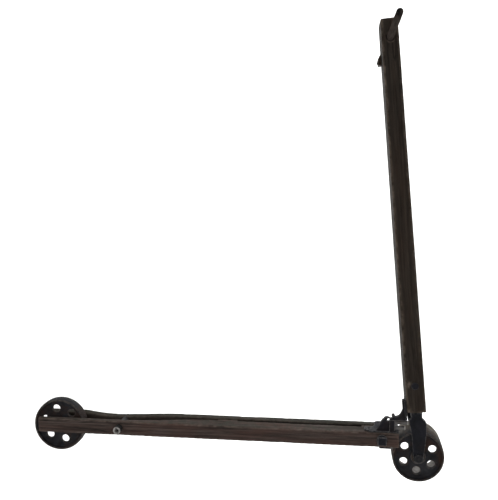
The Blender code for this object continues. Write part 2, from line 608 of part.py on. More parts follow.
# pipe driven through both rails
ring("cross_pipe", PIPE_BORE, PIPE_RADIUS, (PIPE_X, behind(-0.021), PIPE_Z), 0.111,
     TOWARDS_BACK, boom, worn_steel)


# ---------------------------------------------------------------- pulleys
def pulley(name, radius, rim, web, hub, hub_radius, bore, axis, hole_circle, first_hole):
    """A flat-belt pulley: crowned rim, one thin web with six holes, and a bored hub."""
    (near, far), (web_near, web_far), (hub_near, hub_far) = rim, web, hub
    inner = radius - RIM_WALL
    crown_rise = 0.0012
    edge = radius - crown_rise
    middle = (near + far) / 2
    fillet = 0.003
    profile = [(edge - 0.0015, far), (edge, far - 0.0015), (radius, middle),
               (edge, near + 0.0015), (edge - 0.0015, near), (inner + 0.001, near),
               (inner - 0.001, web_near - fillet), (inner - fillet, web_near),
               (hub_radius + fillet, web_near), (hub_radius, web_near - fillet),
               (hub_radius, hub_near), (bore, hub_near), (bore, hub_far), (hub_radius, hub_far),
               (hub_radius, web_far + fillet), (hub_radius + fillet, web_far),
               (inner - fillet, web_far), (inner - 0.001, web_far + fillet), (inner + 0.001, far)]
    made = turned(name, [(r, z - BEAM_DEPTH / 2) for r, z in profile], (0, 0, 0), TOWARDS_BACK,
                  axis, pulley_iron, PULLEY_STEPS, closed=True)
    for number in range(6):
        angle = math.radians(first_hole + 60 * number)
        centre = (hole_circle * math.cos(angle), behind(web_near) - 0.01,
                  hole_circle * math.sin(angle))
        cut(made, rod(f"{name}_hole_{number}", HOLE_RADIUS, centre, web_far - web_near + 0.02,
                      TOWARDS_BACK, axis, sides=14))
    return made


INNER_NEAR = YOKE_NEAR + ARM_THICKNESS
INNER_FAR = YOKE_FAR - ARM_THICKNESS
WASHER = 0.0018
ELBOW_BORE = 0.0150
ELBOW_HUB_NEAR = INNER_NEAR + WASHER + 3 * GAP
ELBOW_HUB_FAR = INNER_FAR - WASHER - 3 * GAP
pulley("elbow_pulley", ELBOW_RADIUS, (ELBOW_RIM_NEAR, ELBOW_RIM_FAR), (0.024, 0.033),
       (ELBOW_HUB_NEAR, ELBOW_HUB_FAR), 0.028, ELBOW_BORE, elbow, ELBOW_HOLE_CIRCLE, 21)
ring("elbow_bush", ELBOW_AXLE_RADIUS + GAP, ELBOW_BORE - GAP, (0, behind(ELBOW_HUB_NEAR + GAP), 0),
     ELBOW_HUB_FAR - ELBOW_HUB_NEAR - 2 * GAP, TOWARDS_BACK, elbow, bronze)
for side, near in (("front", INNER_NEAR + GAP), ("rear", INNER_FAR - GAP - WASHER)):
    ring(f"elbow_thrust_washer_{side}", ELBOW_AXLE_RADIUS + GAP, 0.022, (0, behind(near), 0),
         WASHER, TOWARDS_BACK, elbow, bronze)
axle_back = YOKE_FAR + 0.020
elbow_axle_profile = [(0.0, axle_back), (0.0095, axle_back), (ELBOW_AXLE_RADIUS, axle_back - 0.0015),
                      (ELBOW_AXLE_RADIUS, YOKE_NEAR - GAP), (0.0160, YOKE_NEAR - GAP),
                      (0.0160, -0.0030), (0.0140, -0.0045), (0.0, -0.0050)]
turned("elbow_axle", [(r, z - BEAM_DEPTH / 2) for r, z in elbow_axle_profile], (0, 0, 0),
       TOWARDS_BACK, elbow, worn_steel)
ring("elbow_axle_washer", ELBOW_AXLE_RADIUS + GAP, 0.019, (0, behind(YOKE_FAR + GAP), 0), 0.0025,
     TOWARDS_BACK, elbow, black_iron)
square_nut("elbow_axle_nut", 0.032, 0.013, ELBOW_AXLE_RADIUS + GAP,
           (0, behind(YOKE_FAR + 0.0025 + 2 * GAP), 0), TOWARDS_BACK, elbow, black_iron)

END_BORE = 0.0110
END_HUB_NEAR = FRONT_RAIL_THIN + WASHER + 3 * GAP
END_HUB_FAR = REAR_RAIL_NEAR - WASHER - 3 * GAP
pulley("end_pulley", END_RADIUS, (END_RIM_NEAR, END_RIM_FAR), (0.0365, 0.0435),
       (END_HUB_NEAR, END_HUB_FAR), 0.024, END_BORE, end_axis, END_HOLE_CIRCLE, 100)
ring("end_bush", END_AXLE_RADIUS + GAP, END_BORE - GAP, (0, behind(END_HUB_NEAR + GAP), 0),
     END_HUB_FAR - END_HUB_NEAR - 2 * GAP, TOWARDS_BACK, end_axis, bronze)
for side, near in (("front", FRONT_RAIL_THIN + GAP), ("rear", REAR_RAIL_NEAR - GAP - WASHER)):
    ring(f"end_thrust_washer_{side}", END_AXLE_RADIUS + GAP, 0.018, (0, behind(near), 0),
         WASHER, TOWARDS_BACK, end_axis, bronze)
end_axle_start = 0.0065
end_axle_length = REAR_RAIL_FAR + 0.018 - end_axle_start
rod("end_axle", END_AXLE_RADIUS, (0, behind(end_axle_start), 0), end_axle_length, TOWARDS_BACK,
    end_axis, worn_steel)
ring("end_axle_washer", END_AXLE_RADIUS + GAP, 0.017, (0, behind(REAR_RAIL_FAR + GAP), 0), 0.0025,
     TOWARDS_BACK, end_axis, black_iron)
square_nut("end_axle_nut", 0.026, 0.011, END_AXLE_RADIUS + GAP,
           (0, behind(REAR_RAIL_FAR + 0.0025 + 2 * GAP), 0), TOWARDS_BACK, end_axis, black_iron)
bpy.context.view_layer.update()
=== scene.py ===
# %% [markdown]
# # A ceiling-mounted pulley rack
# An old line-shaft fitting: a square timber hanger, an iron yoke and knee at its foot, and a
# boom of two timber rails with a flat-belt pulley at each end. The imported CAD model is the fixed
# frame. This lesson dresses it: each CAD piece is rebuilt in worn timber, iron, steel or bronze,
# at the same size and place.

import json
import math

import bmesh
import bpy
import numpy as np
from mathutils import Matrix, Vector, noise


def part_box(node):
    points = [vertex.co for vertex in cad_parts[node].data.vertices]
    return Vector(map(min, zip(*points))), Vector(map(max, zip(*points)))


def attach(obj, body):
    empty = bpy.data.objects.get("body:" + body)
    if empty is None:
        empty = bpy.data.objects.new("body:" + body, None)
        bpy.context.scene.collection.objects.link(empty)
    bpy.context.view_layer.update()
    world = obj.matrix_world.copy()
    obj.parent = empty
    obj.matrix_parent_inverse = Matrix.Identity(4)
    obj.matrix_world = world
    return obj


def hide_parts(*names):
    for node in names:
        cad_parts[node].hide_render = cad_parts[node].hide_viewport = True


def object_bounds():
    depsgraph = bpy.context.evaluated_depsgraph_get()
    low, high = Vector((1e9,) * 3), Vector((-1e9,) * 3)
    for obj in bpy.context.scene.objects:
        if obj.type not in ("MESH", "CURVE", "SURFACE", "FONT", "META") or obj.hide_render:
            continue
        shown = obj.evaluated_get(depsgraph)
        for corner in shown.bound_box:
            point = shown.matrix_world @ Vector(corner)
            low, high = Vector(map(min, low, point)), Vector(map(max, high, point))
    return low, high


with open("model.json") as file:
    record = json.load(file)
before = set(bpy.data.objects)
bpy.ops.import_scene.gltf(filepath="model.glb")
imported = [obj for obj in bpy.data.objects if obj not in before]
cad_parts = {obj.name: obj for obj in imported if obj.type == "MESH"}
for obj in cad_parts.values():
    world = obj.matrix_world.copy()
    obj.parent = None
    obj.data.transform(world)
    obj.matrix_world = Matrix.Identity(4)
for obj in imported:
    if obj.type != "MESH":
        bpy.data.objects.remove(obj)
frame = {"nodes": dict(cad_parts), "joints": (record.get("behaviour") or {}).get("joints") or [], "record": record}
cad_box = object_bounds()
nodes = frame["nodes"]
hinges = {joint["name"]: Vector(joint["pos_m"]) for joint in frame["joints"]}
print("CAD nodes:", len(nodes), "hinges:", sorted(hinges))

# %% [markdown]
# ## Where things are
# The boom rises a little towards its outer end, so its pieces share one tilted frame. Its datum
# lies just beside the elbow hinge. Other places are measured from the CAD nodes' own boxes.

# %% The boom's frame
BOOM_RISE = math.radians(4.96)
ELBOW_FROM_DATUM = Vector((-0.003, 0.0, -0.003))
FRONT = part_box("hanger_beam")[0].y              # the hanger's front face

datum = hinges["elbow_pulley_spin"] - ELBOW_FROM_DATUM
boom_turn = Matrix.Rotation(BOOM_RISE, 4, "Y")
boom_frame = Matrix.Translation(datum) @ boom_turn


def on_boom(x, depth, z):
    """A world point from boom measures: across, behind the hanger's front face, and up."""
    return boom_frame @ Vector((x, FRONT + depth, z))


print("datum", [round(value, 4) for value in datum])

# %% [markdown]
# ## Camera
# The view is a long lens's, from in front and a little above the boom, with the rack leaning by a
# few degrees. The camera's three axes are built from yaw, pitch and roll in the boom's frame, which
# keeps the numbers meaningful: they say where the viewer stands relative to the boom.

# %% Make the camera
CAMERA_YAW = math.radians(4.66)
CAMERA_PITCH = math.radians(-4.62)
CAMERA_ROLL = math.radians(0.11)
CAMERA_FROM_DATUM = Vector((-0.290, -1.9642, 1.1247))
LENS_MM = 37.735

ahead = Vector((-math.sin(CAMERA_YAW) * math.cos(CAMERA_PITCH),
                math.cos(CAMERA_YAW) * math.cos(CAMERA_PITCH), math.sin(CAMERA_PITCH)))
level = Vector((math.cos(CAMERA_YAW), math.sin(CAMERA_YAW), 0.0))
upward = level.cross(ahead)
turned_level = level * math.cos(CAMERA_ROLL) + upward * math.sin(CAMERA_ROLL)
turned_up = upward * math.cos(CAMERA_ROLL) - level * math.sin(CAMERA_ROLL)

camera_data = bpy.data.cameras.new("camera")
camera_data.lens = LENS_MM
camera_data.shift_x = -0.1046
camera_data.shift_y = -0.1026
camera = bpy.data.objects.new("camera", camera_data)
axes = Matrix((turned_level, turned_up, -ahead)).transposed().to_4x4()
camera.matrix_world = boom_frame @ Matrix.Translation(CAMERA_FROM_DATUM) @ axes
bpy.context.scene.collection.objects.link(camera)
bpy.context.scene.camera = camera
print("camera at", [round(value, 3) for value in camera.matrix_world.translation])

# %% [markdown]
# ## Studio
# A seamless pale sweep stands in for floor and wall, well below and behind the hanging rack, so no
# hard shadow falls on it. Dark iron needs big soft lights: each one draws a broad highlight.

# %% Floor and lights
SWEEP_FLOOR = -2.45
SWEEP_BACK = 3.2
SWEEP_ROUND = 1.2


def pale_sweep():
    line = [(-7.0, SWEEP_FLOOR)]
    for step in range(17):
        angle = math.radians(90 * step / 16)
        line.append((SWEEP_BACK - SWEEP_ROUND + SWEEP_ROUND * math.sin(angle),
                     SWEEP_FLOOR + SWEEP_ROUND - SWEEP_ROUND * math.cos(angle)))
    line.append((SWEEP_BACK, 6.0))
    verts = [(x, y, z) for x in (-9.0, 9.0) for y, z in line]
    count = len(line)
    faces = [(i, i + 1, count + i + 1, count + i) for i in range(count - 1)]
    mesh = bpy.data.meshes.new("sweep")
    mesh.from_pydata(verts, [], faces)
    mesh.shade_smooth()
    sweep = bpy.data.objects.new("sweep", mesh)
    bpy.context.scene.collection.objects.link(sweep)
    return sweep


paper = bpy.data.materials.new("pale_paper")
paper.use_nodes = True
paper_shader = paper.node_tree.nodes["Principled BSDF"]
paper_shader.inputs["Base Color"].default_value = (0.96, 0.96, 0.955, 1)
paper_shader.inputs["Roughness"].default_value = 0.9
paper_shader.inputs["Specular IOR Level"].default_value = 0.1
floor = pale_sweep()
floor.data.materials.append(paper)


def soft_light(name, place, aim, width, watts, colour=(1, 1, 1)):
    data = bpy.data.lights.new(name, "AREA")
    data.size = width
    data.energy = watts
    data.color = colour
    light = bpy.data.objects.new(name, data)
    light.location = place
    light.rotation_euler = (Vector(aim) - Vector(place)).to_track_quat("-Z", "Y").to_euler()
    bpy.context.scene.collection.objects.link(light)
    return light


soft_light("left_window", (-3.6, -1.6, 0.4), (-0.4, 0, -0.9), 2.2, 52)
soft_light("overhead", (1.5, 0.9, 1.2), (0.0, 0, -1.5), 1.2, 26)
soft_light("front_fill", (0.6, -4.2, -0.2), (-0.5, 0, -1.0), 2.4, 62)
soft_light("behind", (0.4, 2.2, -0.6), (-0.2, 0, -1.6), 1.2, 25)
soft_light("backdrop", (-0.8, 0.9, 1.9), (-0.8, 3.2, 0.2), 2.6, 130)

world = bpy.data.worlds.new("studio")
world.use_nodes = True
sky = world.node_tree.nodes["Background"]
sky.inputs["Color"].default_value = (1, 1, 1, 1)
seen = world.node_tree.nodes.new("ShaderNodeLightPath").outputs["Is Camera Ray"]
sky_strength = world.node_tree.nodes.new("ShaderNodeMapRange")
sky_strength.inputs["To Min"].default_value = 0.62      # what lights the rack
sky_strength.inputs["To Max"].default_value = 1.0       # what shows past the sweep's edges
world.node_tree.links.new(seen, sky_strength.inputs["Value"])
world.node_tree.links.new(sky_strength.outputs["Result"], sky.inputs["Strength"])
bpy.context.scene.world = world
bpy.context.scene.view_settings.view_transform = "Standard"

# %% [markdown]
# ## Shader building blocks
# Old timber and old iron share effects: fibre along the grain, skin texture of a casting, and
# polish on corners that hands and belts have rubbed. Each effect is one node group with named
# sockets, built once. A material then wires groups into its own Principled shader.

# %% Node helpers
def new_group(name, inputs, outputs):
    """A shader node group with (name, kind, default) inputs and (name, kind) outputs."""
    group = bpy.data.node_groups.new(name, "ShaderNodeTree")
    for label, kind, default in inputs:
        socket = group.interface.new_socket(label, in_out="INPUT", socket_type="NodeSocket" + kind)
        if default is not None:
            socket.default_value = default
    for label, kind in outputs:
        group.interface.new_socket(label, in_out="OUTPUT", socket_type="NodeSocket" + kind)
    return group, group.nodes.new("NodeGroupInput"), group.nodes.new("NodeGroupOutput")


def put(tree, kind, settings=None, **sockets):
    """A node with its settings and sockets; a socket value may be a number or another output."""
    node = tree.nodes.new(kind)
    for label, value in (settings or {}).items():
        setattr(node, label, value)
    for label, value in sockets.items():
        wire(tree, node, label.replace("_", " "), value)
    return node


def wire(tree, node, label, value):
    socket = node.inputs[int(label[2:])] if label.startswith("in") and label[2:].isdigit() \
        else node.inputs[label]
    if isinstance(value, bpy.types.NodeSocket):
        tree.links.new(value, socket)
    else:
        socket.default_value = value


def mixed(tree, share, low, high):
    """Blends two colours by a share, and returns the colour."""
    node = tree.nodes.new("ShaderNodeMix")
    node.data_type = "RGBA"
    for index, value in ((0, share), (6, low), (7, high)):
        if isinstance(value, bpy.types.NodeSocket):
            tree.links.new(value, node.inputs[index])
        else:
            node.inputs[index].default_value = value
    return node.outputs[2]


def sums(tree, operation, first, second, clamp=False):
    node = tree.nodes.new("ShaderNodeMath")
    node.operation = operation
    node.use_clamp = clamp
    for socket, value in zip(node.inputs, (first, second)):
        if isinstance(value, bpy.types.NodeSocket):
            tree.links.new(value, socket)
        else:
            socket.default_value = value
    return node.outputs[0]


def spread(tree, value, low, high, bottom=0.0, top=1.0):
    """Stretches a value's range low..high to bottom..top, clamped."""
    node = tree.nodes.new("ShaderNodeMapRange")
    tree.links.new(value, node.inputs["Value"])
    ends = {"From Min": low, "From Max": high, "To Min": bottom, "To Max": top}
    for label, number in ends.items():
        node.inputs[label].default_value = number
    return node.outputs["Result"]


def mottle(tree, place, scale, detail=4.0, roughness=0.55, twist=0.0):
    node = put(tree, "ShaderNodeTexNoise", Vector=place, Scale=scale, Detail=detail,
               Roughness=roughness, Distortion=twist)
    return node.outputs["Fac"]


# %% [markdown]
# Timber grain runs along the group's Z. The fibre is noise squeezed across and stretched along,
# growth rings are a wave texture bent by noise, and drying checks are the thin band where one
# stretched noise crosses its middle value.

# %% Timber grain group
grain_group, given, made = new_group(
    "timber grain",
    [("Place", "Vector", None), ("Dark", "Color", (0.02, 0.015, 0.01, 1)),
     ("Pale", "Color", (0.06, 0.045, 0.035, 1)), ("Tint", "Color", (0.05, 0.03, 0.02, 1)),
     ("Checks", "Float", 1.0)],
    [("Color", "Color"), ("Roughness", "Float"), ("Height", "Float")])
along = put(grain_group, "ShaderNodeVectorMath", {"operation": "MULTIPLY"},
            in0=given.outputs["Place"], in1=(1.0, 1.0, 0.045)).outputs[0]
slow = put(grain_group, "ShaderNodeVectorMath", {"operation": "MULTIPLY"},
           in0=given.outputs["Place"], in1=(1.0, 1.0, 0.18)).outputs[0]
fibre = mottle(grain_group, along, 420.0, 5.0, 0.62)
streak = mottle(grain_group, along, 85.0, 4.0, 0.6, 0.4)
patch = mottle(grain_group, slow, 16.0, 3.0, 0.6)
ring_bend = put(grain_group, "ShaderNodeTexWave", {"bands_direction": "X"}, Vector=along,
                Scale=26.0, Distortion=7.0, Detail=3.0, Detail_Scale=1.4).outputs["Fac"]
split_noise = mottle(grain_group, along, 34.0, 2.0, 0.5, 0.15)
split_off = sums(grain_group, "ABSOLUTE", sums(grain_group, "SUBTRACT", split_noise, 0.5), 0.0)
split_thin = spread(grain_group, split_off, 0.0, 0.020, 1.0, 0.0)
split_where = spread(grain_group, mottle(grain_group, slow, 9.0, 2.0), 0.50, 0.62)
split = sums(grain_group, "MULTIPLY", sums(grain_group, "MULTIPLY", split_thin, split_where),
             given.outputs["Checks"])
fibre_wide = spread(grain_group, fibre, 0.3, 0.7)
streak_wide = spread(grain_group, streak, 0.32, 0.68)
lightness = sums(grain_group, "ADD", sums(grain_group, "MULTIPLY", fibre_wide, 0.40),
                 sums(grain_group, "MULTIPLY", streak_wide, 0.60))
base = mixed(grain_group, lightness, given.outputs["Dark"], given.outputs["Pale"])
base = mixed(grain_group, spread(grain_group, patch, 0.42, 0.66, 0.0, 0.75), base,
             given.outputs["Tint"])
base = mixed(grain_group, sums(grain_group, "MULTIPLY", ring_bend, 0.22), base,
             given.outputs["Dark"])
SPLIT_SHADOW = (0.006, 0.005, 0.004, 1)
base = mixed(grain_group, sums(grain_group, "MULTIPLY", split, 0.85), base, SPLIT_SHADOW)
wire(grain_group, made, "Color", base)
wire(grain_group, made, "Roughness", spread(grain_group, streak, 0.3, 0.7, 0.78, 0.56))
ridge = sums(grain_group, "ADD", sums(grain_group, "MULTIPLY", fibre_wide, 0.35),
             sums(grain_group, "MULTIPLY", streak_wide, 0.30))
wire(grain_group, made, "Height", sums(grain_group, "SUBTRACT", ridge, split))

# %% [markdown]
# Iron skin: a casting keeps the sand's grain, and forged iron its hammer scale. Both are noise at
# two scales with a few pits. Brown rust gathers in soft patches, and dark oil evens the rest out.

# %% Iron skin group
skin_group, given, made = new_group(
    "iron skin",
    [("Place", "Vector", None), ("Dark", "Color", (0.010, 0.010, 0.012, 1)),
     ("Pale", "Color", (0.028, 0.028, 0.031, 1)), ("Rust", "Color", (0.026, 0.013, 0.008, 1)),
     ("Rust Share", "Float", 0.3), ("Grain", "Float", 1.0)],
    [("Color", "Color"), ("Roughness", "Float"), ("Height", "Float")])
sand = mottle(skin_group, given.outputs["Place"], 620.0, 3.0, 0.6)
lumps = mottle(skin_group, given.outputs["Place"], 70.0, 4.0, 0.55)
oil = mottle(skin_group, given.outputs["Place"], 22.0, 4.0, 0.6, 0.6)
rust_patch = mottle(skin_group, given.outputs["Place"], 14.0, 5.0, 0.65)
pits = put(skin_group, "ShaderNodeTexVoronoi", Vector=given.outputs["Place"], Scale=230.0)
pit = spread(skin_group, pits.outputs["Distance"], 0.05, 0.30, 1.0, 0.0)
rust = sums(skin_group, "MULTIPLY", spread(skin_group, rust_patch, 0.48, 0.68),
            given.outputs["Rust Share"])
tone = mixed(skin_group, spread(skin_group, oil, 0.35, 0.65), given.outputs["Dark"],
             given.outputs["Pale"])
tone = mixed(skin_group, sums(skin_group, "MULTIPLY", spread(skin_group, sand, 0.45, 0.75), 0.30),
             tone, given.outputs["Pale"])
wire(skin_group, made, "Color", mixed(skin_group, rust, tone, given.outputs["Rust"]))
wire(skin_group, made, "Roughness",
     sums(skin_group, "ADD", spread(skin_group, oil, 0.35, 0.65, 0.50, 0.74),
          sums(skin_group, "MULTIPLY", rust, 0.25)))
relief = sums(skin_group, "ADD", sums(skin_group, "MULTIPLY", sand, 0.35),
              sums(skin_group, "MULTIPLY", lumps, 0.9))
relief = sums(skin_group, "SUBTRACT", relief, sums(skin_group, "MULTIPLY", pit, 0.25))
wire(skin_group, made, "Height", sums(skin_group, "MULTIPLY", relief, given.outputs["Grain"]))

# %% [markdown]
# Corner wear reads a value that the mesh itself carries: how sharply it bulges at each point. Noise
# breaks the mask up, so a rubbed corner is bright in places and dark in others.

# %% Corner wear group
wear_group, given, made = new_group(
    "corner wear", [("Place", "Vector", None), ("Wear", "Float", 0.0), ("Amount", "Float", 1.0),
                    ("Scale", "Float", 60.0)], [("Mask", "Float")])
scuff = put(wear_group, "ShaderNodeTexNoise", Vector=given.outputs["Place"], Detail=5.0,
            Roughness=0.65, Scale=given.outputs["Scale"]).outputs["Fac"]
rubbed = sums(wear_group, "MULTIPLY", given.outputs["Wear"], spread(wear_group, scuff, 0.36, 0.62))
wire(wear_group, made, "Mask", sums(wear_group, "MULTIPLY", rubbed, given.outputs["Amount"], True))

# %% [markdown]
# Dust settles on whatever looks up. The group gets how far a surface faces up as a value, and
# breaks the even film into patches.

# %% Settled dust group
dust_group, given, made = new_group(
    "settled dust", [("Place", "Vector", None), ("Up", "Float", 0.0), ("Amount", "Float", 0.4)],
    [("Mask", "Float")])
dust_noise = mottle(dust_group, given.outputs["Place"], 45.0, 5.0, 0.65)
dust_patch = spread(dust_group, dust_noise, 0.35, 0.7)
facing_up = spread(dust_group, given.outputs["Up"], 0.55, 0.95)
wire(dust_group, made, "Mask", sums(dust_group, "MULTIPLY",
                                    sums(dust_group, "MULTIPLY", facing_up, dust_patch),
                                    given.outputs["Amount"]))
print("shader groups:", [group.name for group in bpy.data.node_groups])


# %% [markdown]
# ## Timber finishes
# Four timbers: the nearly black hanger, the redder front rail, the oilier rear rail, and the
# handled peg. One function makes them all, because they differ only in colours, in which way the
# grain runs and in how rubbed the corners are. Dust lies on faces that look up.

# %% Timber materials
def use_group(tree, group, **sockets):
    node = tree.nodes.new("ShaderNodeGroup")
    node.node_tree = group
    for label, value in sockets.items():
        wire(tree, node, label.replace("_", " "), value)
    return node


def carried(tree, name):
    return put(tree, "ShaderNodeAttribute", {"attribute_name": name}).outputs["Fac"]


def started(name):
    """A new material: (material, its node tree, its Principled shader, its Object coordinates)."""
    material = bpy.data.materials.new(name)
    material.use_nodes = True
    tree = material.node_tree
    shader = tree.nodes["Principled BSDF"]
    place = tree.nodes.new("ShaderNodeTexCoord").outputs["Object"]
    return material, tree, shader, place


def bumped(tree, shader, height, distance, strength=1.0):
    bump = put(tree, "ShaderNodeBump", Height=height, Distance=distance, Strength=strength)
    tree.links.new(bump.outputs["Normal"], shader.inputs["Normal"])


def settled_dust(tree, place, amount):
    normal = put(tree, "ShaderNodeNewGeometry").outputs["Normal"]
    up = put(tree, "ShaderNodeSeparateXYZ", Vector=normal).outputs["Z"]
    return use_group(tree, dust_group, Place=place, Up=up, Amount=amount).outputs["Mask"]


def timber(name, dark, pale, tint, rubbed, turn, wear_amount, dust_share, checks=1.0,
           sheen=0.05):
    material, tree, shader, place = started(name)
    grain_place = put(tree, "ShaderNodeMapping", Vector=place, Rotation=turn).outputs[0]
    grain = use_group(tree, grain_group, Place=grain_place, Dark=(*dark, 1), Pale=(*pale, 1),
                      Tint=(*tint, 1), Checks=checks)
    wear = use_group(tree, wear_group, Place=place, Wear=carried(tree, "wear"), Amount=wear_amount,
                     Scale=38.0).outputs["Mask"]
    colour = mixed(tree, wear, grain.outputs["Color"], (*rubbed, 1))
    dust = settled_dust(tree, place, dust_share)
    colour = mixed(tree, dust, colour, (0.025, 0.026, 0.021, 1))
    wire(tree, shader, "Base Color", colour)
    wire(tree, shader, "Roughness", sums(tree, "ADD", grain.outputs["Roughness"],
                                         sums(tree, "MULTIPLY", dust, 0.2)))
    shader.inputs["Specular IOR Level"].default_value = sheen
    bumped(tree, shader, grain.outputs["Height"], 0.0018)
    return material


ALONG_BOOM_TURN = (0, math.pi / 2 - BOOM_RISE, 0)
hanger_timber = timber(
    "old_hanger_timber", dark=(0.0038, 0.0028, 0.0022), pale=(0.0280, 0.0220, 0.0172),
    tint=(0.0215, 0.0135, 0.0092), rubbed=(0.068, 0.054, 0.043), turn=(0, 0, 0),
    wear_amount=0.85, dust_share=0.40)
rail_timber = timber(
    "old_rail_timber", dark=(0.0060, 0.0038, 0.0030), pale=(0.0620, 0.0460, 0.0400),
    tint=(0.0480, 0.0245, 0.0190), rubbed=(0.105, 0.082, 0.068), turn=ALONG_BOOM_TURN,
    wear_amount=0.60, dust_share=0.85)
rear_rail_timber = timber(
    "oiled_rail_timber", dark=(0.0040, 0.0033, 0.0027), pale=(0.0350, 0.0290, 0.0240),
    tint=(0.0240, 0.0170, 0.0130), rubbed=(0.065, 0.055, 0.046), turn=ALONG_BOOM_TURN,
    wear_amount=0.60, dust_share=0.90)
peg_timber = timber(
    "handled_peg_wood", dark=(0.0090, 0.0072, 0.0060), pale=(0.0520, 0.0430, 0.0380),
    tint=(0.0300, 0.0240, 0.0210), rubbed=(0.004, 0.004, 0.004), turn=(math.pi / 2, 0, 0),
    wear_amount=0.9, dust_share=0.10, checks=0.4, sheen=0.0)


# %% [markdown]
# ## Iron, steel and bronze
# Black iron is barely metallic to the eye, because its skin is oxide and oil. The pulleys add two
# masks carried by their meshes: the belt's polished track round the rim, and the inside behind the
# web, where a pale grey is painted light.

# %% Metal materials
def iron(name, dark, pale, rust_share, bright, wear_amount, grain=1.0):
    material, tree, shader, place = started(name)
    skin = use_group(tree, skin_group, Place=place, Dark=(*dark, 1), Pale=(*pale, 1),
                     Rust_Share=rust_share, Grain=grain)
    wear = use_group(tree, wear_group, Place=place, Wear=carried(tree, "wear"), Amount=wear_amount,
                     Scale=90.0).outputs["Mask"]
    colour = mixed(tree, wear, skin.outputs["Color"], (*bright, 1))
    shader.inputs["Metallic"].default_value = 0.0
    shader.inputs["Specular IOR Level"].default_value = 0.07
    bumped(tree, shader, skin.outputs["Height"], 0.0016)
    polish = sums(tree, "MULTIPLY", wear, 0.15)
    roughness = sums(tree, "SUBTRACT", skin.outputs["Roughness"], polish)
    return material, tree, shader, place, colour, roughness


def plain_iron(*values, **named):
    material, tree, shader, place, colour, roughness = iron(*values, **named)
    wire(tree, shader, "Base Color", colour)
    wire(tree, shader, "Roughness", roughness)
    return material


def belt_iron():
    material, tree, shader, place, colour, roughness = iron(
        "pulley_cast_iron", (0.0036, 0.0036, 0.0046), (0.0150, 0.0150, 0.0168), 0.80,
        (0.060, 0.051, 0.043), 0.8)
    track_noise = mottle(tree, place, 55.0, 5.0, 0.6)
    track_colour = mixed(tree, spread(tree, track_noise, 0.35, 0.65), (0.036, 0.029, 0.022, 1),
                         (0.100, 0.088, 0.072, 1))
    # Painted light: the inside behind the web gets a pale grey that stands in for light falling on it
    painted_lit_inside_colour = mixed(tree, spread(tree, track_noise, 0.3, 0.7), (0.10, 0.094, 0.088, 1),
                          (0.20, 0.19, 0.18, 1))
    colour = mixed(tree, carried(tree, "belt_track"), colour, track_colour)
    colour = mixed(tree, carried(tree, "inside"), colour, painted_lit_inside_colour)
    wire(tree, shader, "Base Color", colour)
    wire(tree, shader, "Roughness", roughness)
    return material


def bare_steel(name, dark, pale, rust_share, grain, bright=(0.50, 0.48, 0.46)):
    material, tree, shader, place = started(name)
    skin = use_group(tree, skin_group, Place=place, Dark=(*dark, 1), Pale=(*pale, 1),
                     Rust_Share=rust_share, Grain=grain)
    wear = use_group(tree, wear_group, Place=place, Wear=carried(tree, "wear"), Amount=0.9,
                     Scale=120.0).outputs["Mask"]
    wire(tree, shader, "Base Color", mixed(tree, wear, skin.outputs["Color"], (*bright, 1)))
    wire(tree, shader, "Roughness", skin.outputs["Roughness"])
    shader.inputs["Metallic"].default_value = 0.75
    bumped(tree, shader, skin.outputs["Height"], 0.0003)
    return material


black_iron = plain_iron(
    "black_forged_iron", dark=(0.0020, 0.0021, 0.0031), pale=(0.0075, 0.0077, 0.0104),
    rust_share=0.12, bright=(0.095, 0.091, 0.088), wear_amount=0.80)
pulley_iron = belt_iron()
steel = bare_steel("dull_bare_steel", (0.035, 0.034, 0.034), (0.105, 0.100, 0.096), 0.40, 0.6)
bronze = bare_steel("oiled_bronze", (0.018, 0.011, 0.006), (0.050, 0.030, 0.014), 0.15, 0.5,
                    (0.075, 0.050, 0.028))
dark_steel = plain_iron("oil_black_steel", (0.006, 0.006, 0.007), (0.020, 0.020, 0.021), 0.25,
                        (0.090, 0.086, 0.080), 0.6)
pipe_steel = plain_iron("oily_pipe_steel", (0.008, 0.008, 0.008), (0.030, 0.029, 0.028), 0.20,
                        (0.20, 0.19, 0.18), 1.0)
finishes = {"hanger_wood": hanger_timber, "rail_wood": rail_timber, "peg_wood": peg_timber,
            "black_iron": black_iron, "pulley_iron": pulley_iron, "worn_steel": steel,
            "bronze": bronze}
slot_of = {part["node"]: part["material_slot"] for part in frame["record"]["subparts"]}
body_of = {node: body for body, members in frame["record"]["behaviour"]["bodies"].items()
           for node in members}
print("finishes:", sorted(finishes))


# %% [markdown]
# ## Mesh helpers
# A CAD node is loose triangles, so a working copy is merged first and its flat facets dissolved.
# From there most pieces are remeshed to small even faces, which can be rubbed, dented and given
# a wear value. Round pieces are turned on a lathe instead.

# %% Copies and finishing touches
def merged_copy(node, name):
    """A clean, merged object with a CAD node's shape."""
    shape = bmesh.new()
    shape.from_mesh(nodes[node].data)
    bmesh.ops.remove_doubles(shape, verts=shape.verts, dist=0.00002)
    bmesh.ops.dissolve_limit(shape, angle_limit=math.radians(1), verts=shape.verts,
                             edges=shape.edges)
    rough = bpy.data.meshes.new(name)
    shape.to_mesh(rough)
    shape.free()
    mesh = bpy.data.meshes.new(name)
    mesh.from_pydata([vertex.co[:] for vertex in rough.vertices], [],
                     [tuple(face.vertices) for face in rough.polygons])
    bpy.data.meshes.remove(rough)
    return linked(name, mesh)


def linked(name, mesh):
    piece = bpy.data.objects.new(name, mesh)
    bpy.context.scene.collection.objects.link(piece)
    return piece


def baked(piece):
    """The piece with its modifiers applied to its mesh."""
    bpy.context.view_layer.update()
    graph = bpy.context.evaluated_depsgraph_get()
    mesh = bpy.data.meshes.new_from_object(piece.evaluated_get(graph))
    piece.modifiers.clear()
    piece.data = mesh
    return piece


